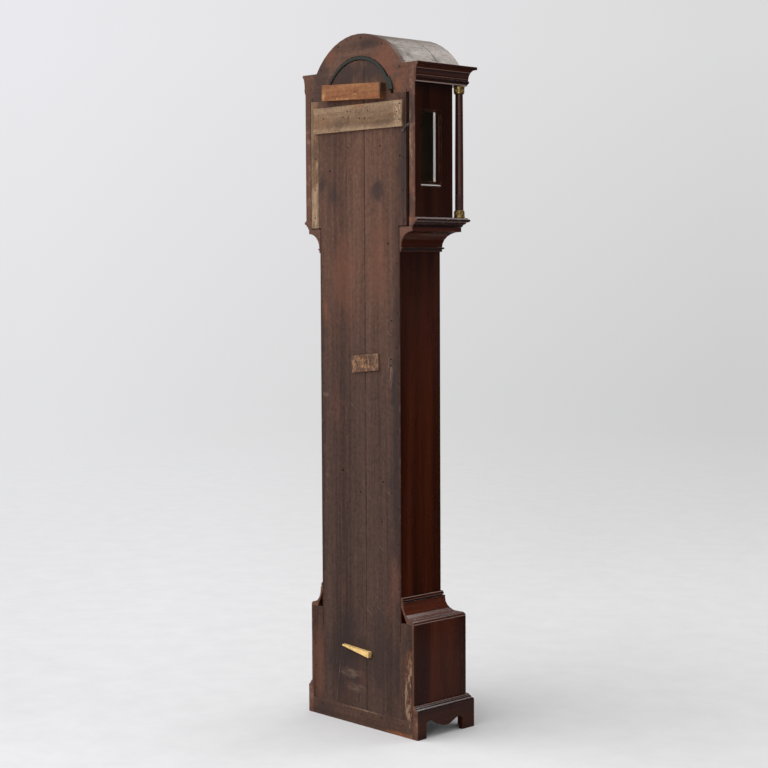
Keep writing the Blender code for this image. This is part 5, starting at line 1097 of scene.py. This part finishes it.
class CLOCK_OT_column_brasses(Operator):
    """Fits the brass bases and capitals on the hood's columns"""

    bl_idname = "clock.column_brasses"
    bl_label = "Column brasses"

    def execute(self, context):
        tall = context.scene.clock_sizes.column_brass
        neck = 0.0150
        profile = [(0.0172, 0.0), (0.0178, 0.001), (0.0178, 0.0045), (0.0170, 0.0055), (0.0172, 0.0085)]
        profile += [(0.0165, 0.0105), (0.0152, 0.0125), (0.0152, 0.0155), (0.0166, 0.0180)]
        profile += [(0.0166, 0.0200), (neck, tall), (0.0138, tall)]
        for name in ("left", "right"):
            low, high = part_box(f"column_{name}")
            x = (low.x + high.x) / 2
            y = (low.y + high.y) / 2
            for part, z, sign in (("base", low.z, 1.0), ("cap", high.z, -1.0)):
                place = Matrix.Translation((x, y, z)) @ Matrix.Diagonal((1.0, 1.0, sign, 1.0))
                shape = bmesh.new()
                turn_shape(shape, place, profile, 28)
                leaf_size = Matrix.Diagonal((0.0022, 0.0042, 0.0062, 1.0))
                for i in range(8):
                    angle = pi / 4 * i
                    leaf = place @ Matrix.Translation((neck * cos(angle), neck * sin(angle), tall * 0.58))
                    lump = leaf @ Matrix.Rotation(angle, 4, "Z") @ leaf_size
                    bmesh.ops.create_icosphere(shape, subdivisions=2, radius=1.0, matrix=lump)
                add_piece(f"column_{part}_{name}", shape, "cast_brass", "hood", radians(50))
        return {"FINISHED"}


class CLOCK_OT_window_sills(Operator):
    """Lays a moulded sill under each side window of the hood"""

    bl_idname = "clock.window_sills"
    bl_label = "Window sills"

    def execute(self, context):
        outline = [(0.0004, 0.0003), (0.0057, 0.0003), (0.0057, 0.0085)]
        outline += [(0.0047, 0.0066), (0.0026, 0.0050), (0.0018, 0.0032), (0.0004, 0.0026)]
        for name, sign in (("left", -1.0), ("right", 1.0)):
            low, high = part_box(f"hood_side_{name}")
            face = low.x if sign < 0 else high.x
            place = upright_frame(face, SILL_Z, SILL_DEPTHS[0], -sign, 1)
            shape = bmesh.new()
            slab(shape, place, outline, SILL_DEPTHS[1] - SILL_DEPTHS[0])
            add_piece(f"window_sill_{name}", shape, "mahogany_sill", "hood")
        return {"FINISHED"}


class CLOCK_OT_door_fittings(Operator):
    """Adds the trunk door's escutcheon and hinge screws, and the hood door's knob"""

    bl_idname = "clock.door_fittings"
    bl_label = "Door fittings"

    def execute(self, context):
        low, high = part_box("trunk_lock")
        face = BACK_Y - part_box("trunk_door")[0].y
        x = (low.x + high.x) / 2
        z = (low.z + high.z) / 2
        half = [(0.0040, 0.0215), (0.0075, 0.0165), (0.0062, 0.0100), (0.0110, 0.0030), (0.0125, -0.0060)]
        half += [(0.0090, -0.0135), (0.0046, -0.0175), (0.0056, -0.0220)]
        outline = [(0.0, 0.0260)] + half + [(0.0, -0.0275)] + [(-across, up) for across, up in reversed(half)]
        plate = 0.0008
        shape = bmesh.new()
        slab(shape, front_frame(x, z, face), outline, plate)
        add_piece("door_escutcheon", shape, "brass", "trunk_door")
        eye = [(0.0026 * cos(radians(a)), 0.0026 * sin(radians(a))) for a in range(-50, 231, 28)]
        # Painted shade: the keyhole is a thin dark sheet on the escutcheon.
        shape = bmesh.new()
        keyhole = eye + [(-0.0024, -0.0090), (0.0024, -0.0090)]
        slab(shape, front_frame(x, z + 0.002, face + plate), keyhole, 0.0001)
        add_piece("door_keyhole", shape, "numeral_wax_and_slot_shade", "trunk_door")
        crown = 0.0006
        head = [(0.0027, 0.0), (0.0025, 0.0004), (0.0012, crown), (0.0, crown)]
        shape = bmesh.new()
        # Painted shade: the screw slots are thin dark bars on the screw heads.
        slots = bmesh.new()
        for name in ("upper", "lower"):
            low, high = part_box(f"trunk_hinge_{name}")
            for rise in (-0.020, 0.0, 0.020):
                place = front_frame(high.x - 0.0065, (low.z + high.z) / 2 + rise, TRUNK_FRONT_DEPTH)
                turn_shape(shape, place, head, 14)
                turned = place @ Matrix.Rotation(rise * 40, 4, "Z") @ Matrix.Translation((0.0, 0.0, crown))
                bar(slots, turned, (-0.0022, 0.0), (0.0022, 0.0), (0.0005, 0.0005), 0.00008)
        add_piece("hinge_screws", shape, "brass", "case")
        add_piece("hinge_screw_slots", slots, "numeral_wax_and_slot_shade", "case")
        low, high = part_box("hood_door")
        shape = bmesh.new()
        profile = [(0.0060, 0.0), (0.0060, 0.0008), (0.0030, 0.0018), (0.0026, 0.0042), (0.0052, 0.0062)]
        profile += [(0.0058, 0.0080), (0.0044, 0.0098), (0.0, 0.0104)]
        turn_shape(shape, front_frame(low.x + 0.020, DOOR_KNOB_Z, BACK_Y - low.y), profile, 20)
        add_piece("hood_door_knob", shape, "brass", "hood_door", radians(50))
        return {"FINISHED"}


def twist_strand(shape, x, low, high):
    """An upright gut strand of three plies, as a lobed section that turns on its way up."""
    plies = 3
    hollow = 0.10
    step = 0.004
    step_turn = radians(24)
    sides = plies * 3
    rows = int((high - low) / step)
    rings = []
    for i in range(rows + 1):
        z = low + (high - low) * i / rows
        ring = []
        for k in range(sides):
            angle = 2 * pi * k / sides
            radius = LINE_RADIUS * (1.0 - hollow + hollow * cos(plies * angle))
            turned = angle + step_turn * i
            place = (x + radius * cos(turned), BACK_Y - LINE_DEPTH + radius * sin(turned), z)
            ring.append(shape.verts.new(place))
        rings.append(ring)
    skin(shape, rings)


class CLOCK_OT_line_turns(Operator):
    """Winds the last turns of the gut line on the barrel and ties its other end on the seat board"""

    bl_idname = "clock.line_turns"
    bl_label = "Line turns"

    def execute(self, context):
        turns = 3
        pitch = 0.0023
        steps = 32
        path = []
        for i in range(turns * steps + 1):
            angle = pi + 2 * pi * i / steps
            depth = LINE_DEPTH + pitch * i / steps
            path.append(((LINE_X * cos(angle), BACK_Y - depth, BARREL_Z + LINE_X * sin(angle)), 1.0))
        add_wire("line_turns", [path], LINE_RADIUS, "gut", "barrel")
        loop = 0.0014
        knot = []
        for i in range(49):
            turn = 2 * pi * i / 48
            across = LINE_X + loop * (sin(turn) + 2 * sin(2 * turn))
            deep = BACK_Y - LINE_DEPTH + loop * (cos(turn) - 2 * cos(2 * turn))
            knot.append(((across, deep, SEAT_TOP_Z + 0.0040 - 0.0016 * sin(3 * turn)), 1.0))
        add_wire("line_knot", [knot], LINE_RADIUS, "gut", "case")
        return {"FINISHED"}


class CLOCK_OT_line_strands(Operator):
    """Hangs the gut line's two strands, and the bight round its pulley"""

    bl_idname = "clock.line_strands"
    bl_label = "Line strands"

    def execute(self, context):
        for name, x, top in (("barrel", -LINE_X, BARREL_Z), ("seat", LINE_X, LINE_END_Z)):
            shape = bmesh.new()
            twist_strand(shape, x, PULLEY_AXIS_Z, top)
            strand = add_piece(f"line_{name}_strand", shape, "gut", "case")
            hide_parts("going_line")
            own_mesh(strand)
        bight = []
        for i in range(25):
            angle = pi + pi * i / 24
            place = (LINE_X * cos(angle), BACK_Y - LINE_DEPTH, PULLEY_AXIS_Z + LINE_X * sin(angle))
            bight.append((place, 1.0))
        add_wire("line_bight", [bight], LINE_RADIUS, "gut", "weight")
        return {"FINISHED"}


# Dial

NUMERALS = ("XII", "I", "II", "III", "IIII", "V", "VI", "VII", "VIII", "IX", "X", "XI")
GLYPH_WIDTHS = {"I": 0.0052, "V": 0.0090, "X": 0.0090}


def numeral(shape, text, angle, radius, height, thickness):
    """A Roman numeral that stands on the ring with its head outwards."""
    place = front_frame(0.0, DIAL_CENTRE_Z, BACK_Y - CHAPTER_FACE_Y) @ Matrix.Rotation(-angle, 4, "Z")
    place = place @ Matrix.Translation((0.0, radius, 0.0))
    total = sum(GLYPH_WIDTHS[letter] for letter in text)
    left = -total / 2
    top = height / 2
    heavy = (0.0027, 0.0027)
    fine = (0.0008, 0.0008)
    for letter in text:
        middle = left + GLYPH_WIDTHS[letter] / 2
        reach = GLYPH_WIDTHS[letter] / 2 - 0.0016
        if letter == "I":
            bar(shape, place, (middle, -top), (middle, top), heavy, thickness)
        elif letter == "V":
            bar(shape, place, (middle - reach, top), (middle, -top), heavy, thickness)
            bar(shape, place, (middle + reach, top), (middle, -top), fine, thickness * 0.9)
        else:
            bar(shape, place, (middle - reach, top), (middle + reach, -top), heavy, thickness)
            bar(shape, place, (middle + reach, top), (middle - reach, -top), fine, thickness * 0.9)
        left += GLYPH_WIDTHS[letter]
    for level in (top, -top):
        bar(shape, place, (-total / 2, level), (total / 2, level), fine, thickness * 1.1)


def ticks(shape, place, count, radii, width, thickness):
    """Short strokes round a ring."""
    for i in range(count):
        angle = 2 * pi * i / count
        inner = (radii[0] * sin(angle), radii[0] * cos(angle))
        outer = (radii[1] * sin(angle), radii[1] * cos(angle))
        bar(shape, place, inner, outer, (width, width), thickness)


class CLOCK_OT_dial_marks(Operator):
    """Engraves the chapter ring and the seconds ring"""

    bl_idname = "clock.dial_marks"
    bl_label = "Dial marks"

    def execute(self, context):
        deep = context.scene.clock_sizes.engraving
        numeral_radius = 0.1275
        mark = [(0.0, 0.1235), (0.0017, numeral_radius), (0.0, 0.1315), (-0.0017, numeral_radius)]
        shape = bmesh.new()
        for i, text in enumerate(NUMERALS):
            numeral(shape, text, 2 * pi * i / 12, numeral_radius, 0.0205, deep)
        place = front_frame(0.0, DIAL_CENTRE_Z, BACK_Y - CHAPTER_FACE_Y)
        hour_ring = (0.1135, 0.1155)
        minute_ring = (0.1422, 0.1462)
        ticks(shape, place, 60, minute_ring, 0.0005, deep)
        ticks(shape, place, 12, (0.1410, 0.1474), 0.0014, deep * 1.1)
        ticks(shape, place, 48, hour_ring, 0.0004, deep)
        for radius in hour_ring + minute_ring:
            hoop(shape, place, radius, 0.0004, deep)
        for i in range(12):
            turned = place @ Matrix.Rotation(-2 * pi * (i + 0.5) / 12, 4, "Z")
            slab(shape, turned, mark, deep)
        add_piece("chapter_numerals", shape, "numeral_wax_and_slot_shade", "case")
        ring = bmesh.new()
        ring_deep = deep * 1.2
        place = front_frame(0.0, SECONDS_Z, BACK_Y - DIAL_FACE_Y)
        hoop(ring, place, 0.0265, 0.0100, ring_deep, 72)
        add_piece("seconds_ring", ring, "silvered", "case")
        marks = bmesh.new()
        place = front_frame(0.0, SECONDS_Z, BACK_Y - DIAL_FACE_Y + ring_deep)
        ticks(marks, place, 60, (0.0285, 0.0305), 0.0004, deep * 0.4)
        ticks(marks, place, 12, (0.0270, 0.0305), 0.0009, deep * 0.5)
        hoop(marks, place, 0.0285, 0.0004, deep * 0.4, 72)
        add_piece("seconds_marks", marks, "numeral_wax_and_slot_shade", "case")
        return {"FINISHED"}


class CLOCK_OT_spandrels(Operator):
    """Pins cast scrolls on the dial's corners and a boss in its arch"""

    bl_idname = "clock.spandrels"
    bl_label = "Spandrels"

    def execute(self, context):
        thick = context.scene.clock_sizes.casting
        paths = []

        def lay(points, side, rise, corner):
            path = []
            last = len(points) - 1
            for i, (across, up) in enumerate(points):
                share = 0.35 + 0.65 * sin(pi * (i + 0.5) / (last + 1))
                place = (side * (corner[0] - across), DIAL_FACE_Y - thick * 0.6, corner[1] - rise * up)
                path.append((place, share))
            paths.append(path)

        for side in (-1, 1):
            for rise in (-1, 1):
                corner = (0.170, DIAL_CENTRE_Z + rise * 0.158)
                stem = [(0.006 + 0.004 * i, 0.006 + 0.004 * i) for i in range(12)]
                lay(stem, side, rise, corner)
                scroll = spiral((0.046, 0.017), (0.0135, 0.002), (200, -400), 34)
                tail = [(0.094 - 0.0045 * i, 0.006 + 0.006 * sin(pi * i / 9)) for i in range(10)]
                for points in (scroll, tail, spiral((0.018, 0.017), (0.009, 0.002), (60, -360), 22)):
                    lay(points, side, rise, corner)
                    lay([(up, across) for across, up in points], side, rise, corner)
        for side in (-1, 1):
            corner = (0.092, 2.016)
            for points in (
                spiral((0.022, -0.012), (0.016, 0.002), (200, 560), 30),
                spiral((0.044, -0.006), (0.008, 0.002), (20, -330), 20),
                [(-0.012 + 0.006 * i, 0.010 - 0.004 * sin(pi * i / 9)) for i in range(10)],
            ):
                lay(points, side, 1, corner)
        add_wire("dial_scrolls", paths, thick, "cast_brass", "case")
        shape = bmesh.new()
        place = front_frame(0.0, BOSS_Z, BACK_Y - DIAL_FACE_Y)
        rim = [(0.036, 0.0), (0.036, 0.0022), (0.034, 0.003), (0.032, 0.0022), (0.0315, 0.0012)]
        turn_shape(shape, place, rim + [(0.016, 0.0022), (0.0, 0.0028)], 48)
        for i in range(16):
            turned = place @ Matrix.Rotation(2 * pi * i / 16, 4, "Z")
            slab(shape, turned, [(-0.0022, 0.011), (0.0022, 0.011), (0.0, 0.030)], 0.0032)
        add_piece("dial_boss", shape, "cast_brass", "case")
        collet = bmesh.new()
        place = front_frame(0.0, BARREL_Z, BACK_Y - DIAL_FACE_Y)
        for radius, width, tall in ((0.0080, 0.0022, 0.0008), (0.0110, 0.0012, 0.0005)):
            hoop(collet, place, radius, width, tall, 40)
        add_piece("winding_collet", collet, "brass", "case")
        return {"FINISHED"}


# Studio

def look_matrix(settings):
    """The camera's place and turn from its heading, pitch and roll."""
    heading = settings.camera_heading
    pitch = settings.camera_pitch
    roll = settings.camera_roll
    forward = Vector((cos(heading) * cos(pitch), sin(heading) * cos(pitch), sin(pitch)))
    level = Vector((sin(heading), -cos(heading), 0.0))
    upright = level.cross(forward)
    right = level * cos(roll) + upright * sin(roll)
    top = upright * cos(roll) - level * sin(roll)
    turn = Matrix((right, top, -forward)).transposed()
    return Matrix.Translation(settings.camera_place) @ turn.to_4x4()


def view_directions(settings):
    """The camera's right and its heading, on the floor plan."""
    heading = settings.camera_heading
    return Vector((sin(heading), -cos(heading), 0.0)), Vector((cos(heading), sin(heading), 0.0))


def make_floor(settings):
    """A pale round floor that melts into the backdrop and keeps its shadow."""
    shape = bmesh.new()
    bmesh.ops.create_circle(shape, cap_ends=True, radius=settings.floor_fade * 1.6, segments=96)
    mesh = bpy.data.meshes.new("studio_floor")
    shape.to_mesh(mesh)
    shape.free()
    floor = bpy.data.objects.new("studio_floor", mesh)
    bpy.context.scene.collection.objects.link(floor)
    net = new_material("floor_paper")
    place = net.place()
    away = net.vector("LENGTH", place)
    side, forward = view_directions(settings)
    across = net.spread(net.vector("DOT_PRODUCT", place, side), -1.0, 1.0)
    nearness = net.vector("DOT_PRODUCT", place, -forward)
    cloudy = net.times(net.less(net.noise(place, 7.0, 6.0, 0.68), 0.5), 0.16)
    # Painted light: the floor is paler on the bright side and a little brighter towards the camera; the noise
    # is the floor's own mottle.
    paper = net.mix(across, settings.floor_left, settings.floor_right)
    paper = net.dim(paper, net.plus(net.spread(nearness, -0.1, 0.45, 1.0, 1.055), cloudy))
    mirrored = net.mix(net.spread(away, 1.3, 2.1), settings.floor_mirrored, settings.floor_dim)
    fade = settings.floor_fade
    net.surface(
        Base_Color=net.mix(net.put("LightPath").outputs["Is Glossy Ray"], paper, mirrored), Roughness=0.9,
        Specular_IOR_Level=0.0, Alpha=net.spread(away, fade * 0.3, fade * 1.5, 1.0, 0.0),
    )
    mesh.materials.append(bpy.data.materials["floor_paper"])


def make_world(scene, settings):
    """Even soft light, with a backdrop that shades from the bright side to the dim side."""
    world = bpy.data.worlds.new("studio_world")
    world.use_nodes = True
    scene.world = world
    world.node_tree.nodes.clear()
    net = Net(world.node_tree)
    toward = net.put("TexCoord").outputs["Generated"]
    across = net.vector("DOT_PRODUCT", toward, view_directions(settings)[0])
    rise = net.axis(toward, "Z")
    share = net.spread(across, -0.2, 0.2)
    low = net.mix(share, settings.low_left, settings.low_right)
    top = net.mix(share, settings.top_left, settings.top_right)
    near = net.mix(net.spread(rise, -0.07, 0.13), low, top)
    band = net.times(net.spread(rise, -0.085, -0.035), net.spread(rise, 0.04, 0.0))
    far = net.mix(band, settings.room_dim, settings.room_glow)
    dimmed = net.mix(1.0, near, settings.room_mirrored, "MULTIPLY")
    mirrored = net.mix(net.spread(across, 0.3, 0.75), dimmed, far)
    path = net.put("LightPath").outputs
    paper = net.mix(path["Is Glossy Ray"], near, mirrored)
    backdrop = net.put("Background", {"Color": paper, "Strength": 1.0}).outputs[0]
    soft = net.put("Background", {"Color": (1.0, 0.99, 1.0, 1.0), "Strength": settings.ambient}).outputs[0]
    seen = net.most(net.most(path["Is Camera Ray"], path["Is Glossy Ray"]), path["Is Transmission Ray"])
    mixed = net.put("MixShader", {0: seen, 1: soft, 2: backdrop}).outputs["Shader"]
    net.put("OutputWorld", {"Surface": mixed})


def make_light(name, kind, aim, place, energy, **settings):
    lamp = bpy.data.lights.new(name, kind)
    lamp.energy = energy
    for key, value in settings.items():
        setattr(lamp, key, value)
    light = bpy.data.objects.new(name, lamp)
    light.location = place
    light.rotation_euler = (Vector(aim) - Vector(place)).to_track_quat("-Z", "Y").to_euler()
    bpy.context.scene.collection.objects.link(light)
    return light


class CLOCK_OT_studio(Operator):
    """Sets the floor, the light, the backdrop and the camera"""

    bl_idname = "clock.studio"
    bl_label = "Studio"

    def execute(self, context):
        scene = context.scene
        settings = scene.clock_studio
        make_floor(settings)
        make_world(scene, settings)
        make_light(
            "key_light", "SUN", (0.0, 0.0, 1.0), (2.6, 4.2, 5.2), settings.key, angle=settings.key_spread
        )
        make_light(
            "moulding_light", "AREA", (-0.25, 0.0, 1.0), (-0.9, -2.9, 3.8), settings.rim, shape="RECTANGLE",
            size=1.6, size_y=0.5,
        )
        front = make_light(
            "front_light", "AREA", (0.0, 0.0, 1.75), (0.95, -3.3, 1.95), settings.fill, shape="RECTANGLE",
            size=1.2, size_y=1.6, spread=radians(40),
        )
        front.visible_glossy = False
        make_light(
            "column_light", "AREA", (-0.24, -0.1, 1.85), (-2.24, 3.4, 2.0), settings.glint, shape="RECTANGLE",
            size=0.2, size_y=2.0,
        )
        camera = bpy.data.cameras.new("studio_camera")
        camera.sensor_width = 36.0
        camera.lens = settings.camera_lens
        holder = bpy.data.objects.new("studio_camera", camera)
        holder.matrix_world = look_matrix(settings)
        scene.collection.objects.link(holder)
        scene.camera = holder
        scene.view_settings.view_transform = "Standard"
        return {"FINISHED"}


class CLOCK_PT_dressing(Panel):
    """Sidebar with the dressing's steps"""

    bl_idname = "CLOCK_PT_dressing"
    bl_label = "Longcase clock"
    bl_space_type = "VIEW_3D"
    bl_region_type = "UI"
    bl_category = "Longcase"

    def draw(self, context):
        column = self.layout.column()
        for step in STEPS:
            column.operator(step.bl_idname)
        scene = context.scene
        for settings in (scene.clock_colours, scene.clock_sizes, scene.clock_studio):
            for name in settings.__annotations__:
                column.prop(settings, name)


STEPS = (
    CLOCK_OT_finishes, CLOCK_OT_nails, CLOCK_OT_draught_strip, CLOCK_OT_hook_fittings,
    CLOCK_OT_column_brasses, CLOCK_OT_window_sills, CLOCK_OT_door_fittings, CLOCK_OT_line_turns,
    CLOCK_OT_line_strands, CLOCK_OT_dial_marks, CLOCK_OT_spandrels, CLOCK_OT_studio,
)
GROUPS = (ClockColours, ClockSizes, StudioSettings)


def register():
    for item in GROUPS + STEPS + (CLOCK_PT_dressing,):
        bpy.utils.register_class(item)
    bpy.types.Scene.clock_colours = PointerProperty(type=ClockColours)
    bpy.types.Scene.clock_sizes = PointerProperty(type=ClockSizes)
    bpy.types.Scene.clock_studio = PointerProperty(type=StudioSettings)


def unregister():
    del bpy.types.Scene.clock_studio
    del bpy.types.Scene.clock_sizes
    del bpy.types.Scene.clock_colours
    for item in reversed(GROUPS + STEPS + (CLOCK_PT_dressing,)):
        bpy.utils.unregister_class(item)


def main():
    register()
    bpy.ops.clock.finishes()
    bpy.ops.clock.nails()
    bpy.ops.clock.draught_strip()
    bpy.ops.clock.hook_fittings()
    bpy.ops.clock.column_brasses()
    bpy.ops.clock.window_sills()
    bpy.ops.clock.door_fittings()
    bpy.ops.clock.line_turns()
    bpy.ops.clock.line_strands()
    bpy.ops.clock.dial_marks()
    bpy.ops.clock.spandrels()
    bpy.ops.clock.studio()


if __name__ == "__main__":
    main()
